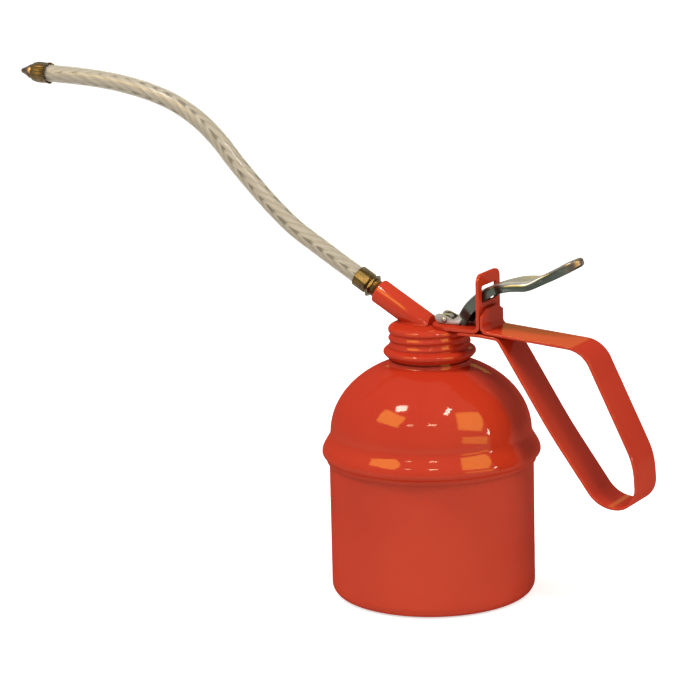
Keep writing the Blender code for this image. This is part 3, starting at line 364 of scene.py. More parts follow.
def softened(made, width, angle=40.0, segments=2):
    """Round a piece's real edges by a small bevel."""
    step = made.modifiers.new("edges", "BEVEL")
    step.width = width * MM
    step.segments = segments
    step.limit_method = "ANGLE"
    step.angle_limit = math.radians(angle)
    return made


# %% [markdown]
# Outlines are drawn with a few corners and arcs. These helpers round corners, move a
# line sideways by a sheet's thickness and space points evenly on a smooth curve.

# %% Outlines


def arc(centre, radius, first, last, count):
    """Points on a circle between two angles in degrees."""
    turns = [math.radians(first + (last - first) * i / count) for i in range(count + 1)]
    return [(centre[0] + radius * math.cos(t), centre[1] + radius * math.sin(t)) for t in turns]


def rounded(corners, radii, step=5.0):
    """A line through corners, each inner one rounded to its own radius."""
    line = [tuple(corners[0])]
    for before, corner, after, radius in zip(corners, corners[1:], corners[2:], radii):
        corner = Vector(corner)
        back = (Vector(before) - corner).normalized()
        ahead = (Vector(after) - corner).normalized()
        half = back.angle(ahead) / 2
        middle = corner + (back + ahead).normalized() * radius / math.sin(half)
        spoke = corner + back * radius / math.tan(half) - middle
        turn = math.pi - 2 * half
        side = 1 if back.x * ahead.y - back.y * ahead.x < 0 else -1
        count = max(2, round(math.degrees(turn) / step))
        for i in range(count + 1):
            line.append(tuple(middle + Matrix.Rotation(side * turn * i / count, 2) @ spoke))
    return line + [tuple(corners[-1])]


def offset(line, distance):
    """The line moved to its left by a distance, point by point."""
    moved = []
    for i, point in enumerate(line):
        way = (Vector(line[min(i + 1, len(line) - 1)]) - Vector(line[max(i - 1, 0)])).normalized()
        moved.append((point[0] - way.y * distance, point[1] + way.x * distance))
    return moved


def smooth(points, step):
    """Points at an even spacing along a Catmull-Rom curve through the given ones."""
    fine = []
    padded = [2 * points[0] - points[1], *points, 2 * points[-1] - points[-2]]
    for a, b, c, d in zip(padded, padded[1:], padded[2:], padded[3:]):
        for t in (i / 20 for i in range(20)):
            bend = (2 * a - 5 * b + 4 * c - d) * t**2 + (3 * b - a - 3 * c + d) * t**3
            fine.append(0.5 * (2 * b + (c - a) * t + bend))
    fine.append(points[-1])
    length = sum((b - a).length for a, b in zip(fine, fine[1:]))
    count = max(2, round(length / step))
    spaced, walked = [fine[0]], 0.0
    for a, b in zip(fine, fine[1:]):
        span = (b - a).length
        while len(spaced) < count and walked + span >= length / count * len(spaced):
            spaced.append(a + (b - a) * ((length / count * len(spaced) - walked) / span))
        walked += span
    return spaced + [fine[-1]]


def ramp(value, start, end):
    """A soft step from 0 at one value to 1 at another."""
    share = min(1.0, max(0.0, (value - start) / (end - start)))
    return share * share * (3 - 2 * share)


def facing(way):
    """A turn that takes +Z to a direction."""
    return Vector(way).to_track_quat("Z", "Y").to_matrix().to_4x4()


# %% [markdown]
# Solids come from those outlines: spun round an axis like turned work, or pushed
# sideways like a piece cut from plate. A bar is a cone with equal ends.

# %% Turned and pushed shapes


def spun(outline, steps, open_ends=False):
    """Spin an outline of (radius, height) round the Z axis."""
    bm = bmesh.new()
    corners = [bm.verts.new((radius, 0.0, height)) for radius, height in outline]
    ends = corners[1:] if open_ends else corners[1:] + corners[:1]
    edges = [bm.edges.new(pair) for pair in zip(corners, ends)]
    bmesh.ops.spin(
        bm, geom=corners + edges, cent=(0, 0, 0), axis=(0, 0, 1), angle=math.tau, steps=steps,
        use_merge=True, use_duplicate=False,
    )
    bmesh.ops.remove_doubles(bm, verts=bm.verts, dist=1e-4)
    bmesh.ops.recalc_face_normals(bm, faces=bm.faces)
    return bm


def pushed(outline, low, high, axis="Y"):
    """Push a flat outline along X, Y or Z between two places."""
    bm = bmesh.new()
    order = {"X": (2, 0, 1), "Y": (0, 2, 1), "Z": (0, 1, 2)}[axis]
    corners = [bm.verts.new([(*point, low)[i] for i in order]) for point in outline]
    face = bm.faces.new(corners)
    grown = bmesh.ops.extrude_face_region(bm, geom=[face])
    far = [item for item in grown["geom"] if isinstance(item, bmesh.types.BMVert)]
    bmesh.ops.translate(bm, verts=far, vec=[(0, 0, high - low)[i] for i in order])
    bmesh.ops.recalc_face_normals(bm, faces=bm.faces)
    return bm


def bar(radius, start, end, sides=48):
    """A round bar between two points."""
    start, end = Vector(start), Vector(end)
    bm = bmesh.new()
    bmesh.ops.create_cone(
        bm, cap_ends=True, segments=sides, radius1=radius, radius2=radius, depth=(end - start).length,
        matrix=Matrix.Translation((start + end) / 2) @ facing(end - start),
    )
    return bm


def placed(bm, at, way):
    """Move turned work from the Z axis to a place and a direction."""
    bmesh.ops.transform(bm, verts=bm.verts, matrix=Matrix.Translation(at) @ facing(way))
    return bm


# %% [markdown]
# The hose leaves the spout socket at 30 degrees and stands in one long S curve by its
# own stiffness. Its route repeats the points of the solid model, in metres.

# %% The hose's route
SPOUT_RISE = math.radians(30.0)
SPOUT_WAY = Vector((-math.cos(SPOUT_RISE), 0.0, math.sin(SPOUT_RISE)))
SOCKET_MOUTH = Vector((-24.2, 0.0, 130.5))
PLUG_LENGTH = 1.2
FERRULE_START = 5.0
FERRULE_LENGTH = 6.6
TIP_FERRULE_LENGTH = 8.5
HOSE_RADIUS = 4.0
HOSE_STEP = 16.0
HOSE_FINE_STEP = 2.4
GAP = 0.3
HOSE_ROUTE = (
    (-0.0520, 0.1467),
    (-0.0654, 0.1549),
    (-0.0767, 0.1642),
    (-0.0863, 0.1734),
    (-0.0949, 0.1822),
    (-0.1032, 0.1913),
    (-0.1128, 0.1994),
    (-0.1247, 0.2060),
    (-0.1371, 0.2102),
    (-0.1495, 0.2129),
    (-0.1618, 0.2146),
    (-0.1750, 0.2156),
)
HOSE_END = (-0.19795, 0.21647)

hose_start = SOCKET_MOUTH + SPOUT_WAY * (FERRULE_START + PLUG_LENGTH + GAP)
bends = [Vector((x, 0, z)) / MM for x, z in (*HOSE_ROUTE, HOSE_END)]
hose_way = (bends[-1] - bends[-2]).normalized()
route = [hose_start, hose_start + SPOUT_WAY * FERRULE_LENGTH, hose_start + SPOUT_WAY * HOSE_STEP]
route += [*bends[:-1], bends[-1] - hose_way * TIP_FERRULE_LENGTH, bends[-1]]
solid_points = smooth(route, HOSE_STEP)
tip_way = (solid_points[-1] - solid_points[-2]).normalized()
hose_points = smooth(route, HOSE_FINE_STEP)
hose_length = sum((b - a).length for a, b in zip(hose_points, hose_points[1:]))
tip_start = bends[-1] + tip_way * (GAP + PLUG_LENGTH)
print("hose length", round(hose_length, 1), "mm over", len(hose_points), "points")

# %% [markdown]
# A clear hose could be a glass tube, but glass is slow and comes out black in simple
# viewers. Here the outer wall is a thin see-through film with a gloss, and the textile
# braid is a second tube just inside it, so that the hose keeps its depth: the braid
# shifts under the gloss, and the edges go grey where only plastic is seen.
# The braid is drawn from waves along and around the tube. The hose was twisted on, so
# its columns wander round it. Two waves whose difference is taken give that wander,
# and it is measured in turns. Towards the tip the braid closes up.

# %% Hose finishes
BRAID_PITCH = 7.2
BRAID_COLUMNS = 2
BRAID_SLANT = 2.0
BRAID_SHARE = 0.92
YARNS = 3
WANDER = 0.12
WANDER_SHIFT = 0.02
LONG_WAVE = (4.7, 1.6)
SHORT_WAVE = (8.7, 1.57)
CLOSED_UP = (0.5, 0.85)


def clear_finish():
    finish = Finish("clear_hose_wall", 0.12)
    edge = finish.node("ShaderNodeLayerWeight", {}, {"Blend": 0.3}, "Facing")
    haze = finish.noise(90.0, 3.0)
    finish.set("Base Color", finish.mix(haze, colour(150, 142, 126), colour(172, 164, 150)))
    finish.set("Alpha", edge**2 * 0.5 + haze * 0.1 + 0.14)
    finish.set("Roughness", haze * 0.12 + 0.1)
    return finish.material


def braid_finish(length):
    """Strands that slant one way, then the other, in columns with a gapped seam between them."""
    finish = Finish("hose_braid", 0.5, coat=0.1, coat_roughness=0.25)
    uv = finish.node("ShaderNodeUVMap", {}, {})
    along = finish.node("ShaderNodeSeparateXYZ", {}, {0: uv})
    around = finish.node("ShaderNodeSeparateXYZ", {}, {0: uv}, 1)
    for (rate, shift), reach in ((LONG_WAVE, WANDER), (SHORT_WAVE, -WANDER)):
        around = around + (along * rate + shift).wave() * reach
    around = around - WANDER_SHIFT
    slant = (around * BRAID_COLUMNS).zigzag()
    drift = finish.noise(70.0) * 0.7 + finish.noise(420.0) * 0.5
    band = along * (length / BRAID_PITCH) + slant * BRAID_SLANT + drift
    strand = band.zigzag()
    yarns = (band * YARNS).zigzag()
    grain = finish.node("ShaderNodeCombineXYZ", {}, {0: band * (3 * YARNS), 1: slant})
    fibres = finish.noise(1.0, 3.0, 0.6, grain)
    body = finish.between(0.0, 0.9, strand * 0.6 + yarns * 0.4 + fibres - 0.5)
    seam = finish.between(0.6, 0.95, abs(slant * 2 - 1))
    gaps = finish.between(0.35, 0.65, finish.noise(150.0, 2.0))
    closed = finish.between(*CLOSED_UP, along)
    open_seam = seam * (1 - strand) * (gaps * 0.5 + 0.7) * (1 - closed * 0.6)
    hole = finish.between(0.3, 0.6, open_seam + fibres * 0.2)
    ground = finish.mix(finish.noise(500.0), colour(136, 127, 106), colour(158, 148, 128))
    strands = finish.mix(fibres, colour(150, 140, 122), colour(214, 202, 182))
    tone = finish.mix(body, ground, strands)
    finish.set("Base Color", finish.mix(hole * 0.9, tone, colour(84, 78, 56)))
    finish.set("Roughness", 0.6 - body * 0.15)
    finish.bump(body + fibres * 0.4 - hole, 0.2, 0.6)
    return finish.material


clear_wall = clear_finish()
braid = braid_finish(hose_length)
print("made", clear_wall.name, braid.name)

# %% [markdown]
# A tube is a curve with a round bevel. Made a mesh, it keeps the curve's own UV map,
# along and around, which is what the braid's pattern needs.

# %% The hose


def tube(name, points, radius, finish, body, resolution=10):
    curve = bpy.data.curves.new(name, "CURVE")
    curve.dimensions = "3D"
    curve.bevel_depth = radius * MM
    curve.bevel_resolution = resolution
    curve.use_fill_caps = True
    spline = curve.splines.new("POLY")
    spline.points.add(len(points) - 1)
    for slot, point in zip(spline.points, points):
        slot.co = (*(point * MM), 1.0)
    source = bpy.data.objects.new(name + "_curve", curve)
    bpy.context.collection.objects.link(source)
    graph = bpy.context.evaluated_depsgraph_get()
    mesh = bpy.data.meshes.new_from_object(source.evaluated_get(graph))
    bpy.data.objects.remove(source)
    mesh.materials.clear()
    mesh.materials.append(finish)
    made = bpy.data.objects.new(name, mesh)
    bpy.context.collection.objects.link(made)
    shade(made)
    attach(made, body)
    print(name, len(mesh.polygons), "faces, UV maps", [layer.name for layer in mesh.uv_layers])
    return made


hose = tube("hose_wall", hose_points, HOSE_RADIUS, clear_wall, "head")
hose_braid = tube("hose_braid", hose_points[1:-1], HOSE_RADIUS * BRAID_SHARE, braid, "head")
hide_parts("hose")

# %% [markdown]
# The can is two pressings. The cup has a rolled base corner and a shallow ring pressed
# into its floor. Spinning one outline of outside and inside gives it an even wall.

# %% The can's cup
CAN_RADIUS = 44.0
SHEET = 0.8
CUP_HEIGHT = 67.3
BASE_CORNER = 4.75
BASE_RING = (30.5, 31.75, 34.25, 35.5)
BASE_RING_DEPTH = 1.0
CAN_STEPS = 160


def make_cup():
    ring = [(radius, z) for radius, z in zip(BASE_RING, (0.0, BASE_RING_DEPTH, BASE_RING_DEPTH, 0.0))]
    middle = (CAN_RADIUS - BASE_CORNER, BASE_CORNER)
    outside = [(0.0, 0.0), (15.0, 0.0), *ring, *arc(middle, BASE_CORNER, -90, 0, 14)]
    outside += [(CAN_RADIUS, BASE_CORNER + 2.0), (CAN_RADIUS, 30.0), (CAN_RADIUS, CUP_HEIGHT)]
    inside = [(CAN_RADIUS - SHEET, CUP_HEIGHT), *arc(middle, BASE_CORNER - SHEET, 0, -90, 8)]
    inside += [(radius, z + SHEET) for radius, z in ring[::-1]] + [(0.0, SHEET)]
    bm = spun(outside + inside, CAN_STEPS, open_ends=True)
    return softened(piece(bm, "can_body", enamel, "can", "can_cup"), 0.3)


make_cup()

# %% [markdown]
# The dome slips over the cup with a round bead at the seam. It is part of an ellipse,
# and the bead is a wave that is added to its radius, longer above the seam than below,
# so that bead and dome flow into each other as in one pressing.

# %% The can's dome
DOME_LIP_Z = 58.9
BEAD_Z = 63.0
BEAD_PROUD = 3.7
BEAD_BELOW = 5.2
BEAD_ABOVE = 9.3
DOME_RADIUS = 43.3
DOME_SPRING_Z = 71.25
DOME_RISE = 33.05
NECK_RADIUS = 17.3
NECK_FILLET = 1.6
NECK_SHOULDER_Z = 103.0
BEAD_ROWS = 28
DOME_ROWS = 36


def dome_wall(z):
    """The outer radius of the dome at a height, with its seam bead."""
    share = max(0.0, (z - DOME_SPRING_Z) / DOME_RISE)
    radius = DOME_RADIUS * math.sqrt(max(0.0, 1 - share * share))
    away = abs(z - BEAD_Z) / (BEAD_BELOW if z < BEAD_Z else BEAD_ABOVE)
    if away < 1:
        radius += BEAD_PROUD * math.cos(away * math.pi / 2) ** 2
    return max(radius, CAN_RADIUS + GAP + SHEET) if z < BEAD_Z else radius


def make_dome():
    foot = NECK_RADIUS + NECK_FILLET
    dome_top = DOME_SPRING_Z + DOME_RISE * math.sqrt(1 - (foot / DOME_RADIUS) ** 2)
    bead_top = BEAD_Z + BEAD_ABOVE
    turns = [math.acos((z - DOME_SPRING_Z) / DOME_RISE) for z in (bead_top, dome_top)]
    rows = [DOME_LIP_Z + (bead_top - DOME_LIP_Z) * i / BEAD_ROWS for i in range(BEAD_ROWS + 1)]
    for i in range(1, DOME_ROWS + 1):
        turn = turns[0] + (turns[1] - turns[0]) * i / DOME_ROWS
        rows.append(DOME_SPRING_Z + DOME_RISE * math.cos(turn))
    wall = [(dome_wall(z), z) for z in rows]
    lining = offset(wall, SHEET)
    lining = [(max(r, CAN_RADIUS + GAP) if z < CUP_HEIGHT + GAP else r, z) for r, z in lining]
    lining[0] = (CAN_RADIUS + GAP, DOME_LIP_Z)
    tangent = math.degrees(math.atan2(DOME_RISE * math.sin(turns[1]), DOME_RADIUS * math.cos(turns[1])))
    wall += arc((foot, dome_top + NECK_FILLET), NECK_FILLET, -90 - tangent, -180, 6)
    wall += [(NECK_RADIUS, NECK_SHOULDER_Z - 0.2), (NECK_RADIUS - 0.2, NECK_SHOULDER_Z)]
    lining += [(NECK_RADIUS - SHEET, dome_top + NECK_FILLET), (NECK_RADIUS - SHEET, NECK_SHOULDER_Z)]
    bm = spun(wall + lining[::-1], CAN_STEPS)
    made = piece(bm, "can_shoulder", enamel, "can", "can_dome", sharp=50.0)
    return softened(made, 0.25, 60.0)


make_dome()

# %% [markdown]
# The screw cap is one pressing with the thread rolled through it. It is turned as a
# plain skirt, and each vertex is then moved by a wave that climbs with the angle. The
# hole for the rod is cut by a bar that reaches a little past the sheet on both sides.

# %% The screw cap
CAP_SKIRT_RADIUS = 17.25
CAP_TOP_Z = 118.0
CAP_LIP_Z = 103.8
CAP_FLARE_Z = 106.4
CAP_FLARE_RADIUS = 19.8
CAP_FLARE_RISE = 2.2
CAP_EDGE_ROUND = 1.6
THREAD_PITCH = 3.45
THREAD_DEPTH = 0.35
THREAD_ROWS = 44
PUMP_X = 9.5
ROD_HOLE = 2.2
TOOL_PAST = 5.0


def make_cap():
    crest = CAP_SKIRT_RADIUS + THREAD_DEPTH
    flare = [
        (crest + 0.1, CAP_LIP_Z),
        (crest + 1.2, CAP_LIP_Z + 1.0),
        (CAP_FLARE_RADIUS - 0.2, CAP_FLARE_Z - 0.7),
        (CAP_FLARE_RADIUS, CAP_FLARE_Z),
        (CAP_FLARE_RADIUS - 0.4, CAP_FLARE_Z + 0.8),
        (crest + 0.8, CAP_FLARE_Z + 1.6),
        (CAP_SKIRT_RADIUS, CAP_FLARE_Z + CAP_FLARE_RISE),
    ]
    curve = smooth([Vector((r, z, 0)) for r, z in flare], 0.3)
    first, last = CAP_FLARE_Z + CAP_FLARE_RISE, CAP_TOP_Z - CAP_EDGE_ROUND
    wall = [(p.x, p.y) for p in curve[:-1]]
    wall += [
        (CAP_SKIRT_RADIUS, first + (last - first) * i / THREAD_ROWS) for i in range(THREAD_ROWS + 1)
    ]
    lining = offset(wall, SHEET)[:-1]
    lining[0] = (wall[0][0] - SHEET, CAP_LIP_Z)
    corner = (CAP_SKIRT_RADIUS - CAP_EDGE_ROUND, last)
    wall += arc(corner, CAP_EDGE_ROUND, 0, 90, 8)[1:]
    wall += [(8.0, CAP_TOP_Z), (0.0, CAP_TOP_Z)]
    lining += [(CAP_SKIRT_RADIUS - SHEET, CAP_TOP_Z - SHEET), (0.0, CAP_TOP_Z - SHEET)]
    bm = spun(lining[::-1] + wall, CAN_STEPS, open_ends=True)
    fade = THREAD_PITCH / 2
    low, high = first + 1.0, last - fade
    for vertex in bm.verts:
        x, y, z = vertex.co
        radius = math.hypot(x, y)
        if radius < CAP_SKIRT_RADIUS - SHEET * 1.5:
            continue
        share = ramp(z, low - fade, low) * (1 - ramp(z, high, high + fade))
        reach = ramp(z, low - 2 * fade, low - fade) * (1 - ramp(z, high + fade, high + 2 * fade))
        wave = math.cos(math.tau * z / THREAD_PITCH - math.atan2(y, x))
        shift = THREAD_DEPTH * (share * wave + (1 - share) * reach)
        vertex.co.x *= (radius + shift) / radius
        vertex.co.y *= (radius + shift) / radius
    made = piece(bm, "cap_pressing", enamel, "head", "screw_cap")
    joined(made, bar(ROD_HOLE, (PUMP_X, 0, CAP_TOP_Z - TOOL_PAST), (PUMP_X, 0, CAP_TOP_Z + TOOL_PAST)))
    return made


make_cap()

# %% [markdown]
# The spout socket is a short bar, cut off flat on the cap and along the bracket's
# side, and brazed down. The brazing shows as a thin painted fillet round its foot.

# %% The spout socket
SOCKET_RADIUS = 5.4
SOCKET_CUT_X = 1.7
SOCKET_BORE = 3.0
SOCKET_BORE_DEPTH = 9.0
SOCKET_LENGTH = 45.0
BRAZE_RADIUS = 0.55
BRAZE_STEPS = 64
FIT = 0.15


def make_socket():
    outline = [
        (0.0, -SOCKET_LENGTH),
        (SOCKET_RADIUS, -SOCKET_LENGTH),
        (SOCKET_RADIUS, -0.7),
        (SOCKET_RADIUS - 0.2, -0.2),
        (SOCKET_RADIUS - 0.7, 0.0),
        (SOCKET_BORE, 0.0),
        (SOCKET_BORE, -SOCKET_BORE_DEPTH),
        (0.0, -SOCKET_BORE_DEPTH),
    ]
    bm = placed(spun(outline, 96, open_ends=True), SOCKET_MOUTH, SPOUT_WAY)
    for point, way in (((0, 0, CAP_TOP_Z + FIT), (0, 0, -1)), ((SOCKET_CUT_X, 0, 0), (1, 0, 0))):
        geometry = bm.verts[:] + bm.edges[:] + bm.faces[:]
        cut = bmesh.ops.bisect_plane(bm, geom=geometry, plane_co=point, plane_no=way, clear_outer=True)
        edges = [item for item in cut["geom_cut"] if isinstance(item, bmesh.types.BMEdge)]
        bmesh.ops.holes_fill(bm, edges=edges)
    bmesh.ops.recalc_face_normals(bm, faces=bm.faces)
    made = piece(bm, "spout_socket_bar", enamel, "head", "spout_socket", sharp=30.0)
    return softened(made, 0.2)


def make_braze():
    """A round fillet along the ellipse where the bar meets the cap's top."""
    foot_x = SOCKET_MOUTH.x + (SOCKET_MOUTH.z - CAP_TOP_Z) / math.tan(SPOUT_RISE)
    long = SOCKET_RADIUS / math.sin(SPOUT_RISE)
    end = math.degrees(math.acos((SOCKET_CUT_X - 0.4 - foot_x) / long))
    points = []
    for i in range(BRAZE_STEPS + 1):
        turn = math.radians(end + (360 - 2 * end) * i / BRAZE_STEPS)
        across = SOCKET_RADIUS * math.sin(turn)
        points.append(Vector((foot_x + long * math.cos(turn), across, CAP_TOP_Z + FIT)))
    return tube("socket_braze", points, BRAZE_RADIUS, enamel, "head", 3)


make_socket()
make_braze()

# %% [markdown]
# The bracket is one strip: a flat arm with a round end, brazed on the cap, and an
# upright plate with a slot that the lever passes through and rocks on.

# %% The lever bracket
ARM_WIDTH = 20.0
ARM_THICKNESS = 1.4
ARM_END_X = 3.0
ARM_UNDER_Z = CAP_TOP_Z + FIT
ARM_TOP_Z = ARM_UNDER_Z + ARM_THICKNESS
UPRIGHT_X = 27.5
UPRIGHT_BACK_X = UPRIGHT_X + ARM_THICKNESS
UPRIGHT_TOP_Z = 143.2
UPRIGHT_CORNER = 3.5
SLOT_HALF_WIDTH = 6.7
SLOT_FLOOR_Z = 130.8
SLOT_ROOF_Z = 138.0
SLOT_CORNER = 0.8
BRACKET_BEND = 1.6


def box_outline(low, high, radius):
    """A rectangle's outline with round corners."""
    near, far = [part + radius for part in low], [part - radius for part in high]
    line = []
    for centre, turn in (((far[0], near[1]), -90), (far, 0), ((near[0], far[1]), 90), (near, 180)):
        line += arc(centre, radius, turn, turn + 90, 5)
    return line


def make_bracket():
    half = ARM_WIDTH / 2
    corners = [(ARM_END_X, ARM_UNDER_Z), (UPRIGHT_BACK_X, ARM_UNDER_Z), (UPRIGHT_BACK_X, UPRIGHT_TOP_Z)]
    line = rounded(corners, [BRACKET_BEND + ARM_THICKNESS])
    strip = pushed(line + offset(line, ARM_THICKNESS)[::-1], -half, half)
    made = piece(strip, "bracket_strip", enamel, "head", "lever_bracket")
    slot = box_outline((-SLOT_HALF_WIDTH, SLOT_FLOOR_Z), (SLOT_HALF_WIDTH, SLOT_ROOF_Z), SLOT_CORNER)
    joined(made, pushed(slot, UPRIGHT_X - 2, UPRIGHT_BACK_X + 2, "X"))
    plan = arc((ARM_END_X + half, 0), half, 90, 270, 24) + [(60, -half), (60, half)]
    joined(made, pushed(plan, ARM_UNDER_Z - TOOL_PAST, UPRIGHT_TOP_Z + TOOL_PAST, "Z"), "INTERSECT")
    top = box_outline((-half, ARM_UNDER_Z - 20), (half, UPRIGHT_TOP_Z), UPRIGHT_CORNER)
    joined(made, pushed(top, ARM_END_X - TOOL_PAST, UPRIGHT_BACK_X + TOOL_PAST, "X"), "INTERSECT")
    joined(made, bar(ROD_HOLE, (PUMP_X, 0, ARM_UNDER_Z - 1), (PUMP_X, 0, ARM_TOP_Z + 1)))
    return softened(made, 0.25)


make_bracket()

# %% [markdown]
# The handle is a flat strip, bent into a loop and brazed at both ends: its top end
# stands behind the bracket's upright, and its other end lies under the arm.

# %% The strap handle
STRAP_WIDTH = 20.0
STRAP_THICKNESS = 1.3
STRAP_BACK_TOP_Z = 128.4
STRAP_CHAMFER = 2.4
STRAP_FRONT_DROP = 0.7
STRAP_BENDS = (2.6, 12.5, 30.0, 9.5, 14.0, 200.0, 3.2, 8.0)


def make_strap():
    back_x = UPRIGHT_BACK_X + GAP + STRAP_THICKNESS / 2
    low_z = ARM_UNDER_Z - GAP - STRAP_THICKNESS / 2
    corners = [
        (back_x, STRAP_BACK_TOP_Z),
        (back_x, low_z + STRAP_THICKNESS + GAP),
        (76.6, 115.4),
        (99.6, 69.6),
        (100.9, 49.5),
        (83.4, 49.5),
        (61.5, 79.2),
        (37.4, low_z - STRAP_FRONT_DROP),
        (29.0, low_z),
        (18.6, low_z),
    ]
    line = offset(rounded(corners, STRAP_BENDS, 4.0), -STRAP_THICKNESS / 2)
    half = STRAP_WIDTH / 2
    strip = pushed(line + offset(line, STRAP_THICKNESS)[::-1], -half, half)
    made = piece(strip, "handle_strip", enamel, "head", "handle_strap", sharp=30.0)
    for side in (-1, 1):
        edge = side * half
        corner = [
            (edge + side, STRAP_BACK_TOP_Z - STRAP_CHAMFER - 1),
            (edge + side, STRAP_BACK_TOP_Z + 1),
            (edge - side * (STRAP_CHAMFER * 2 + 2), STRAP_BACK_TOP_Z + 1),
        ]
        joined(made, pushed(corner, UPRIGHT_BACK_X, back_x + STRAP_THICKNESS + 1, "X"))
    return softened(made, 0.35, 50.0, 3)


make_strap()

# %% [markdown]
# The lever is pressed from one plated sheet: a narrow fork at the pin, a curved neck
# with two flanges, a wide thumb pad and a tail with a pressed groove. Its route runs
# along the middle of the top, and where a form starts and ends along it is a pair of
# X places, so that each form can be moved or stretched by itself.

# %% The lever's sizes
LEVER_SHEET = 1.2
LEVER_HALF_WIDTH = 6.2
PAD_HALF_WIDTH = 9.5
TIP_HALF_WIDTH = 5.4
LEVER_EDGE_ROUND = 1.5
EAR_HALF_WIDTH = 4.2
EAR_THICKNESS = 1.2
EAR_FRONT_X = 4.9
EAR_BACK_X = 19.0
EAR_TOP_Z = 123.7
NECK_FOOT_X = 14.6
PIN_Z = 121.4
PIN_RADIUS = 0.8
NOTCH_RADIUS = 1.9
NOTCH_DROP = 0.9
EARS_END_X = NECK_FOOT_X + 1.2
EARS_BLEND = 1.5
LEVER_ROUTE = (
    (14.6, 121.9),
    (16.7, 125.3),
    (19.2, 128.5),
    (21.8, 131.3),
    (25.0, 134.1),
    (28.9, 136.6),
    (33.3, 138.5),
    (37.5, 139.9),
    (41.5, 141.0),
    (45.8, 141.6),
    (50.0, 142.0),
    (54.0, 143.7),
    (60.8, 147.2),
    (66.3, 150.3),
    (69.4, 151.8),
    (71.6, 152.6),
)
TIP_ROUND_X = 66.0
TOP_COLUMNS = 16
WALL_COLUMNS = 6
LEVER_FINE_STEP = 0.05
LEVER_ROW_STEPS = 12
TAIL_ROWS = 16
FORK_SPREADS = (15.5, 20.5)
FLANGE_SHRINKS = (22, 34)
PAD_STARTS = (33, 40)
PAD_ENDS = (48, 57)
TAIL_NARROWS = (54, 60)
TIP_SHRINKS = (67, 72.5)
GROOVE_STARTS = (50, 56)
GROOVE_ENDS = (63.5, 66.0)
GROOVE_DEPTH = 0.8
GROOVE_SHARE = 0.45
PAD_DISH = 0.5
PAD_EXTRA_ROUND = 1.1
FLANGE_DEPTH = 5.2
FLANGE_LOSS = 1.2
TIP_LOSS = 1.3
print("lever from", LEVER_ROUTE[0], "to", LEVER_ROUTE[-1])

# %% [markdown]
# A box with bevelled edges would give a lever with flat faces only. Instead, a flat
# grid is folded over the route: its middle columns lie on top, the next ones go round
# the edge, and the last hang down as flanges. Solidify then gives it the sheet's
# thickness. The ears of the fork are cut from plate and joined on. They keep the plain
# top colour on both sides, without the painted rim highlight or the painted dark
# reflection of the sides, so the value that tells the finish how far the sheet is
# turned is 0 there.

# %% The lever's sheet


def lever_sizes(x):
    """Half width, flange depth, edge radius, and how much is pad and groove."""
    pad = ramp(x, *PAD_STARTS) * (1 - ramp(x, *PAD_ENDS))
    half = EAR_HALF_WIDTH + (LEVER_HALF_WIDTH - EAR_HALF_WIDTH) * ramp(x, *FORK_SPREADS)
    half += (PAD_HALF_WIDTH - LEVER_HALF_WIDTH) * pad
    half += (TIP_HALF_WIDTH - LEVER_HALF_WIDTH) * ramp(x, *TAIL_NARROWS) * (1 - pad)
    depth = FLANGE_DEPTH - FLANGE_LOSS * ramp(x, *FLANGE_SHRINKS) - TIP_LOSS * ramp(x, *TIP_SHRINKS)
    groove = ramp(x, *GROOVE_STARTS) * (1 - ramp(x, *GROOVE_ENDS))
    return half, depth, LEVER_EDGE_ROUND + PAD_EXTRA_ROUND * pad, pad, groove


def fold(column, x, end_x):
    """Where a column from -1 to 1 lies once folded: across, down, and how far it is turned."""
    half, depth, bend, pad, groove = lever_sizes(x)
    bend = min(bend, depth - 0.6)
    nose = min(1.0, max(0.0, (x - TIP_ROUND_X) / (end_x - TIP_ROUND_X)))
    columns = abs(column) * (TOP_COLUMNS + WALL_COLUMNS)
    share = math.sin(min(1.0, columns / TOP_COLUMNS) * math.pi / 2)
    across = half * math.sqrt(1 - nose**2) * share
    edge = half * (1 - math.hypot(nose, across / half))
    round_off = max(0.0, 1 - max(0.0, edge) / bend)
    down = bend * (1 - math.sqrt(1 - round_off**2))
    wall = max(0.0, columns - TOP_COLUMNS) / WALL_COLUMNS
    down += (depth - down) * wall
    pressed = groove * GROOVE_DEPTH * math.exp(-((share / GROOVE_SHARE) ** 4))
    pressed += pad * PAD_DISH * math.cos(share * math.pi / 2)
    return math.copysign(across, column), down + pressed * (1 - wall), round_off + wall


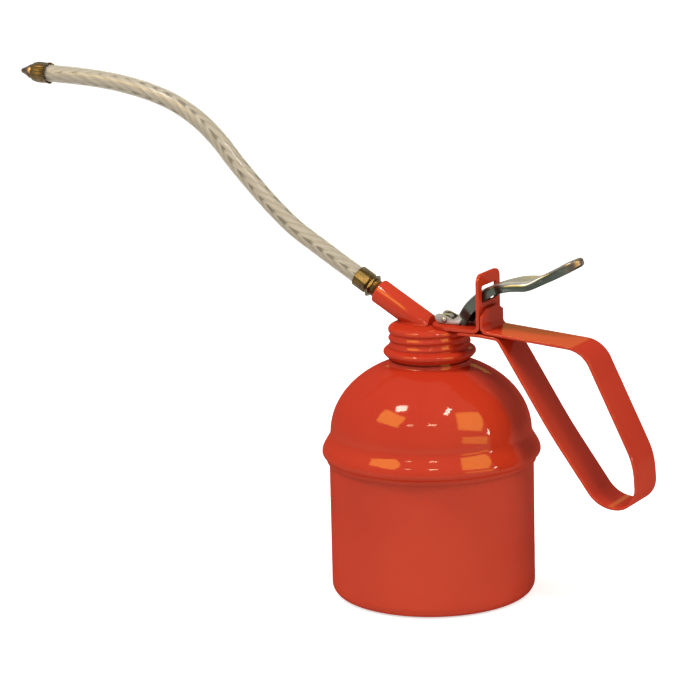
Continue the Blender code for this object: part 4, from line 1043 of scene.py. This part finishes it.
def make_lever():
    fine = smooth([Vector((x, 0, z)) for x, z in LEVER_ROUTE], LEVER_FINE_STEP)
    end_x = fine[-1].x
    rows = [i for i in range(0, len(fine), LEVER_ROW_STEPS) if fine[i].x < TIP_ROUND_X]
    for step in range(TAIL_ROWS + 1):
        aim = TIP_ROUND_X + (end_x - TIP_ROUND_X) * math.sin(step / TAIL_ROWS * math.pi / 2)
        rows.append(min(range(len(fine)), key=lambda i: abs(fine[i].x - aim)))
    columns = 2 * (TOP_COLUMNS + WALL_COLUMNS)
    bm = bmesh.new()
    bmesh.ops.create_grid(bm, x_segments=len(rows) - 1, y_segments=columns, size=1.0)
    turned = bm.verts.layers.float.new("turned")
    for vertex in bm.verts:
        i = rows[round((vertex.co.x + 1) / 2 * (len(rows) - 1))]
        point = fine[i]
        before, after = fine[max(i - LEVER_ROW_STEPS, 0)], fine[min(i + LEVER_ROW_STEPS, len(fine) - 1)]
        way = (after - before).normalized()
        across, down, vertex[turned] = fold(vertex.co.y, point.x, end_x)
        vertex.co = point + Vector((way.z, 0, -way.x)) * down + Vector((0, across, 0))
    made = piece(bm, "lever_pressing", steel, "lever", "lever")
    sheet = made.modifiers.new("sheet", "SOLIDIFY")
    sheet.thickness = LEVER_SHEET * MM
    sheet.offset = -1.0
    settle(made)
    foot = ARM_TOP_Z + GAP
    ear = [
        (EAR_FRONT_X + 2.4, foot),
        (EAR_BACK_X - 2.6, foot),
        (EAR_BACK_X, foot + 4.0),
        (NECK_FOOT_X + 1.0, foot + 3.4),
        (NECK_FOOT_X - 1.2, foot + 1.8),
        (EAR_FRONT_X + 3.2, EAR_TOP_Z),
        (EAR_FRONT_X + 1.0, EAR_TOP_Z),
        (EAR_FRONT_X, EAR_TOP_Z - 1.2),
        (EAR_FRONT_X + 0.4, foot + 1.3),
    ]
    ear = rounded([*ear, ear[0], ear[1]], [0.4, 0.8, 0.8, 0.8, 1.2, 0.9, 0.9, 0.5, 0.5], 15.0)[1:-1]
    for side in (-1, 1):
        sides = sorted((side * (EAR_HALF_WIDTH + 0.02), side * (EAR_HALF_WIDTH - EAR_THICKNESS)))
        joined(made, pushed(ear, *sides), "UNION")
    reach = LEVER_HALF_WIDTH + 2
    joined(made, bar(PIN_RADIUS + FIT, (PUMP_X, -reach, PIN_Z), (PUMP_X, reach, PIN_Z), 32))
    under = [(EAR_FRONT_X, ARM_UNDER_Z), (UPRIGHT_X - GAP, ARM_UNDER_Z), (UPRIGHT_X - GAP, foot)]
    joined(made, pushed([*under, (EAR_FRONT_X, foot)], -reach, reach))
    rest_x, rest_z = UPRIGHT_X + ARM_THICKNESS / 2, SLOT_FLOOR_Z - NOTCH_DROP
    joined(made, bar(NOTCH_RADIUS, (rest_x, -reach, rest_z), (rest_x, reach, rest_z)))
    for vertex, turned in zip(made.data.vertices, made.data.attributes["turned"].data):
        turned.value *= ramp(vertex.co.x / MM, EARS_END_X, EARS_END_X + EARS_BLEND)
    return softened(made, 0.22, 50.0)


make_lever()

# %% [markdown]
# The pin is a rivet: a shank through both ears and the rod's long eye, with a low
# domed head on each side.

# %% The lever's rivet


def make_pin():
    neck = EAR_HALF_WIDTH + FIT
    head = [(1.25, neck), (1.22, neck + 0.25), (1.0, neck + 0.5), (0.6, neck + 0.66), (0.0, neck + 0.7)]
    shank = [(PIN_RADIUS, neck)]
    outline = head[::-1] + shank
    outline += [(radius, -along) for radius, along in outline[::-1]]
    bm = spun(outline, 40, open_ends=True)
    return piece(placed(bm, (PUMP_X, 0, PIN_Z), (0, 1, 0)), "lever_rivet", steel, "lever", "lever_pin")


make_pin()

# %% [markdown]
# The spout's brass: a threaded bush in the socket, a thin lock nut, and a six-sided
# ferrule crimped on the hose. A nut's corners are turned off at an angle, so a
# six-sided bar is crossed with a turned shape, and what both share is the nut.

# %% Hexagon fittings
BUSH_RADIUS = 3.9
BUSH_BORE = 1.0
BUSH_THREAD_DEPTH = 0.25
BUSH_TURNS = 9
NUT_START = 2.7
NUT_THICKNESS = 1.4
NUT_ACROSS_FLATS = 9.4
NUT_CORNER_RADIUS = 5.3
FERRULE_ACROSS_FLATS = 8.8
FERRULE_CORNER_RADIUS = 4.7


def hex_sleeve(name, distance, length, across_flats, corner_radius, bore, *nodes):
    """A six-sided sleeve on the spout, with its corners turned off round and at both ends."""
    corner = across_flats / 2 / math.cos(math.radians(30))
    flat = across_flats / 2
    start = SOCKET_MOUTH + SPOUT_WAY * distance
    bm = bmesh.new()
    bmesh.ops.create_cone(
        bm, cap_ends=True, segments=6, radius1=corner, radius2=corner, depth=length,
        matrix=Matrix.Translation((0, 0, length / 2)) @ Matrix.Rotation(math.radians(30), 4, "Z"),
    )
    made = piece(placed(bm, start, SPOUT_WAY), name, brass, "head", *nodes)
    turned = corner_radius - flat
    barrel = [(0.0, 0.0), (flat - 0.1, 0.0), (corner_radius, turned), (corner_radius, length - turned)]
    barrel += [(flat - 0.1, length), (0.0, length)]
    joined(made, placed(spun(barrel, 72, open_ends=True), start, SPOUT_WAY), "INTERSECT")
    hole = [(0.0, -1.0), (bore, -1.0), (bore, length + 1.0), (0.0, length + 1.0)]
    joined(made, placed(spun(hole, 48, open_ends=True), start, SPOUT_WAY))
    # Painted reflection: only the faces that look sideways and a little up keep the plain brass, and
    # the rest are painted dark.
    upwards = Vector((SPOUT_WAY.z, 0.0, -SPOUT_WAY.x))
    set_darkening(made, lambda face: abs(face.normal.y) < 0.7 or face.normal.dot(upwards) < 0.2)
    return softened(made, 0.1, 28.0)


def set_darkening(made, amount):
    """Tell the brass finish how much darker each face is painted, from 0 for plain brass to 1."""
    darkening = made.data.attributes.new("darkening", "FLOAT", "FACE")
    for face in made.data.polygons:
        darkening.data[face.index].value = amount(face)


def make_base_fittings():
    inner_end = GAP - SOCKET_BORE_DEPTH
    root = BUSH_RADIUS - BUSH_THREAD_DEPTH
    bush = [(BUSH_BORE, inner_end), (SOCKET_BORE - GAP, inner_end), (SOCKET_BORE - GAP, FIT)]
    end = FERRULE_START + PLUG_LENGTH
    pitch = (end - FIT) / BUSH_TURNS
    for i in range(BUSH_TURNS):
        bush += [(root, FIT + pitch * i), (BUSH_RADIUS, FIT + pitch * (i + 0.5))]
    bush += [(root, end), (BUSH_BORE, end)]
    bm = placed(spun(bush, 64), SOCKET_MOUTH, SPOUT_WAY)
    piece(bm, "bush", brass, "head", "spout_bush", sharp=25.0)
    hex_sleeve(
        "spout_lock_nut", NUT_START, NUT_THICKNESS, NUT_ACROSS_FLATS, NUT_CORNER_RADIUS,
        BUSH_RADIUS + FIT, "lock_nut",
    )
    hex_sleeve(
        "hose_ferrule", FERRULE_START, FERRULE_LENGTH, FERRULE_ACROSS_FLATS, FERRULE_CORNER_RADIUS,
        HOSE_RADIUS + FIT, "base_ferrule",
    )


make_base_fittings()

# %% [markdown]
# The tip is a crimped ferrule whose skirt is cut into small teeth that bite on the
# hose, and a nozzle with a rounded nose. The teeth are the last ring of the turned
# sleeve, pulled back and forth along the hose.

# %% The tip ferrule and nozzle
TIP_SHOULDER = 1.7
NOZZLE_LENGTH = 7.0
NOZZLE_BORE = 0.8
TEETH = 11
TOOTH_DEPTH = 1.0
CRIMP_DEPTH = 0.1
FRONT_DARKENING = 0.6
DARKENING_FROM = (3.5, 6.0)


def sleeve_darkening(face):
    """The sleeve's brass is partly darkened at its front, and fully darkened towards the hose."""
    along = (tip_start * MM - face.center).dot(tip_way) / MM
    return FRONT_DARKENING + (1 - FRONT_DARKENING) * ramp(along, *DARKENING_FROM)


def make_tip():
    flat = FERRULE_ACROSS_FLATS / 2
    inner = HOSE_RADIUS + FIT
    length = TIP_FERRULE_LENGTH
    sleeve = [
        (inner, 0.0),
        (inner + 0.1, 0.0),
        (flat, TIP_SHOULDER * 0.4),
        (flat + 0.15, TIP_SHOULDER),
        (flat + 0.2, length * 0.4),
        (flat + 0.18, length * 0.6),
        (flat + 0.1, length * 0.72),
        (flat + 0.2, length * 0.86),
        (flat + 0.45, length),
        (inner + 0.25, length),
        (inner, length * 0.85),
    ]
    bm = spun(sleeve, TEETH * 12)
    for vertex in bm.verts:
        turn = math.atan2(vertex.co.y, vertex.co.x)
        near = ramp(vertex.co.z, length * 0.8, length)
        bite = abs((turn / math.tau * TEETH) % 1.0 - 0.5) * 2
        vertex.co.z -= TOOTH_DEPTH * bite * near
        reach = math.hypot(vertex.co.x, vertex.co.y)
        if reach > inner + 0.2:
            wave = math.cos(2 * TEETH * turn) * CRIMP_DEPTH
            crimp = wave * (1 - near) * ramp(vertex.co.z, 0.5, TIP_SHOULDER)
            vertex.co.x *= (reach + crimp) / reach
            vertex.co.y *= (reach + crimp) / reach
    made = piece(placed(bm, tip_start, -tip_way), "tip_sleeve", brass, "head", "tip_ferrule")
    set_darkening(made, sleeve_darkening)
    softened(made, 0.1)
    nose = [
        (NOZZLE_BORE, -PLUG_LENGTH),
        (BUSH_RADIUS, -PLUG_LENGTH),
        (BUSH_RADIUS, 0.3),
        (3.5, 0.45),
        (3.3, 0.7),
        (3.3, 1.9),
        (3.15, 2.3),
        (2.6, 3.4),
        (2.05, 4.5),
        (1.6, 5.5),
        (1.35, 6.1),
        (1.2, 6.6),
        (NOZZLE_BORE + 0.15, NOZZLE_LENGTH),
        (NOZZLE_BORE, NOZZLE_LENGTH - 0.3),
    ]
    bm = placed(spun(nose, 64), tip_start, tip_way)
    return made, piece(bm, "spout_nozzle", worn_tip, "head", "nozzle", sharp=30.0)


tip_sleeve, spout_nozzle = make_tip()
hose_length * MM
[tuple(point * MM) for point in hose_points]

# %% [markdown]
# What stays as solids from the frame is mostly hidden: the neck, the pump and its
# valves. Each still gets its real finish.

# %% Finishes of the pump's own parts
NODE_FINISHES = {
    "can_neck": enamel,
    "cap_gasket": rubber,
    "piston_rod": steel,
    "piston": brass,
    "piston_seal": rubber,
    "piston_valve_ball": steel,
    "return_spring": steel,
    "pump_head": brass,
    "gland_packing": rubber,
    "delivery_valve_ball": steel,
    "pump_cylinder": steel,
    "ball_stop_pin": steel,
    "foot_valve_seat": brass,
    "foot_valve_ball": steel,
    "suction_tube": steel,
    "strainer": brass,
}
for node, finish in NODE_FINISHES.items():
    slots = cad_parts[node].material_slots
    if slots:
        for slot in slots:
            slot.material = finish
    else:
        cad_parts[node].data.materials.append(finish)
print("finished", len(NODE_FINISHES), "solids")

# %% [markdown]
# The floor is plain and pale, and the world is white to the camera and in
# reflections, but lights the can at a lower level, so colours come out as written.

# %% Floor and world
FLOOR_SIZE = 8.0
FLOOR_TONE = (0.8, 0.8, 0.8, 1.0)
FLOOR_GLOW = 0.64
FLOOR_DROP = 0.0002
WORLD_LIGHT = 0.45


def make_floor():
    bm = bmesh.new()
    bmesh.ops.create_grid(bm, x_segments=2, y_segments=2, size=FLOOR_SIZE / 2 / MM)
    finish = Finish("pale_floor", 0.9)
    finish.set("Base Color", FLOOR_TONE)
    seen = finish.node("ShaderNodeLightPath", {}, {}, "Is Camera Ray")
    for name in ("Is Glossy Ray", "Is Transmission Ray"):
        seen = seen.sum("MAXIMUM", seen, finish.node("ShaderNodeLightPath", {}, {}, name))
    finish.set("Emission Color", finish.mix(seen, (0, 0, 0, 1), (1, 1, 1, 1)))
    finish.set("Emission Strength", FLOOR_GLOW)
    made = piece(bm, "floor", finish.material, None)
    made.location.z = cad_box[0][2] - FLOOR_DROP


def make_world():
    world = bpy.data.worlds.new("studio")
    world.use_nodes = True
    bpy.context.scene.world = world
    nodes, links = world.node_tree.nodes, world.node_tree.links
    path = nodes.new("ShaderNodeLightPath")
    seen = path.outputs["Is Camera Ray"]
    for name in ("Is Glossy Ray", "Is Transmission Ray"):
        either = nodes.new("ShaderNodeMath")
        either.operation = "MAXIMUM"
        links.new(seen, either.inputs[0])
        links.new(path.outputs[name], either.inputs[1])
        seen = either.outputs[0]
    level = nodes.new("ShaderNodeMapRange")
    level.inputs["To Min"].default_value = WORLD_LIGHT
    level.inputs["To Max"].default_value = 1.0
    links.new(seen, level.inputs["Value"])
    links.new(level.outputs[0], nodes["Background"].inputs["Strength"])
    nodes["Background"].inputs["Color"].default_value = (1.0, 1.0, 1.0, 1.0)


make_floor()
make_world()

# %% [markdown]
# Each lamp stands where its reflection falls on the dome. Its line gives the direction
# in which the dome sends the camera's line of sight, that of its long edge, its width
# and height as the can sees them, in radians, then its strength, tint and use. The
# window and the slit light the can and shine in it. The cards, the last of them behind
# the can, and the small sparks only shine in it. The two fills only light it, and
# stand a little behind the cards in their direction, which they would hide otherwise.

# %% Lamps
LAMP_AIM = (0.0, 0.0, 0.08)
LAMP_DISTANCE = 1.3
FILL_BEHIND = 0.1
WHITE = (1.0, 1.0, 1.0)
WARM = (1.0, 0.9, 0.72)
ORANGE = (1.0, 0.62, 0.1)
YELLOW = (1.0, 0.85, 0.2)
LAMPS = {
    "window": ((-0.27, -0.44, 0.86), (0.95, 0.0, 0.30), 0.18, 0.15, 56.0, WHITE, "both"),
    "slit": ((0.44, -0.25, 0.86), (0.14, -0.94, -0.34), 0.20, 0.07, 60.0, WHITE, "both"),
    "left_fill": ((-0.39, -0.64, 0.66), (1.0, 0.0, 0.0), 0.50, 0.32, 4.0, WARM, "light"),
    "right_fill": ((0.80, -0.10, 0.60), (0.0, 1.0, 0.0), 0.36, 0.50, 4.0, WARM, "light"),
    "left_card": ((-0.39, -0.64, 0.66), (0.85, -0.53, 0.0), 0.50, 0.32, 16.0, ORANGE, "gloss"),
    "right_card": ((0.80, -0.10, 0.60), (0.34, 0.86, -0.38), 0.51, 0.50, 14.0, ORANGE, "gloss"),
    "low_card": ((0.97, -0.20, 0.11), (0.12, 0.53, -0.15), 0.57, 0.20, 9.0, ORANGE, "gloss"),
    "back_card": ((-0.38, 0.86, 0.37), (0.91, 0.41, 0.0), 0.60, 0.11, 6.0, YELLOW, "gloss"),
    "left_spark": ((0.0, -0.78, 0.62), (0.98, 0.12, 0.15), 0.11, 0.05, 24.0, WARM, "gloss"),
    "middle_spark": ((0.38, -0.66, 0.65), (0.88, 0.47, 0.0), 0.14, 0.05, 36.0, WARM, "gloss"),
    "right_spark": ((0.96, 0.14, 0.24), (0.0, 0.93, -0.37), 0.07, 0.14, 48.0, WHITE, "gloss"),
}


def make_lamp(name, way, across, width, height, brightness, tint, use):
    """A rectangular lamp that faces the can, and is seen, or lights, or both."""
    distance = LAMP_DISTANCE + (FILL_BEHIND if use == "light" else 0.0)
    data = bpy.data.lights.new(name, "AREA")
    data.shape = "RECTANGLE"
    data.size = width * distance
    data.size_y = height * distance
    data.energy = brightness * math.pi * data.size * data.size_y
    data.color = tint
    lamp = bpy.data.objects.new(name, data)
    bpy.context.collection.objects.link(lamp)
    back = Vector(way).normalized()
    up = back.cross(Vector(across)).normalized()
    lamp.rotation_euler = Matrix((up.cross(back), up, back)).transposed().to_euler()
    lamp.location = Vector(LAMP_AIM) + back * distance
    lamp.visible_camera = False
    lamp.visible_diffuse = use != "gloss"
    lamp.visible_glossy = use != "light"
    print(name, round(data.energy, 1), "W", use)


for name, lamp in LAMPS.items():
    make_lamp(name, *lamp)
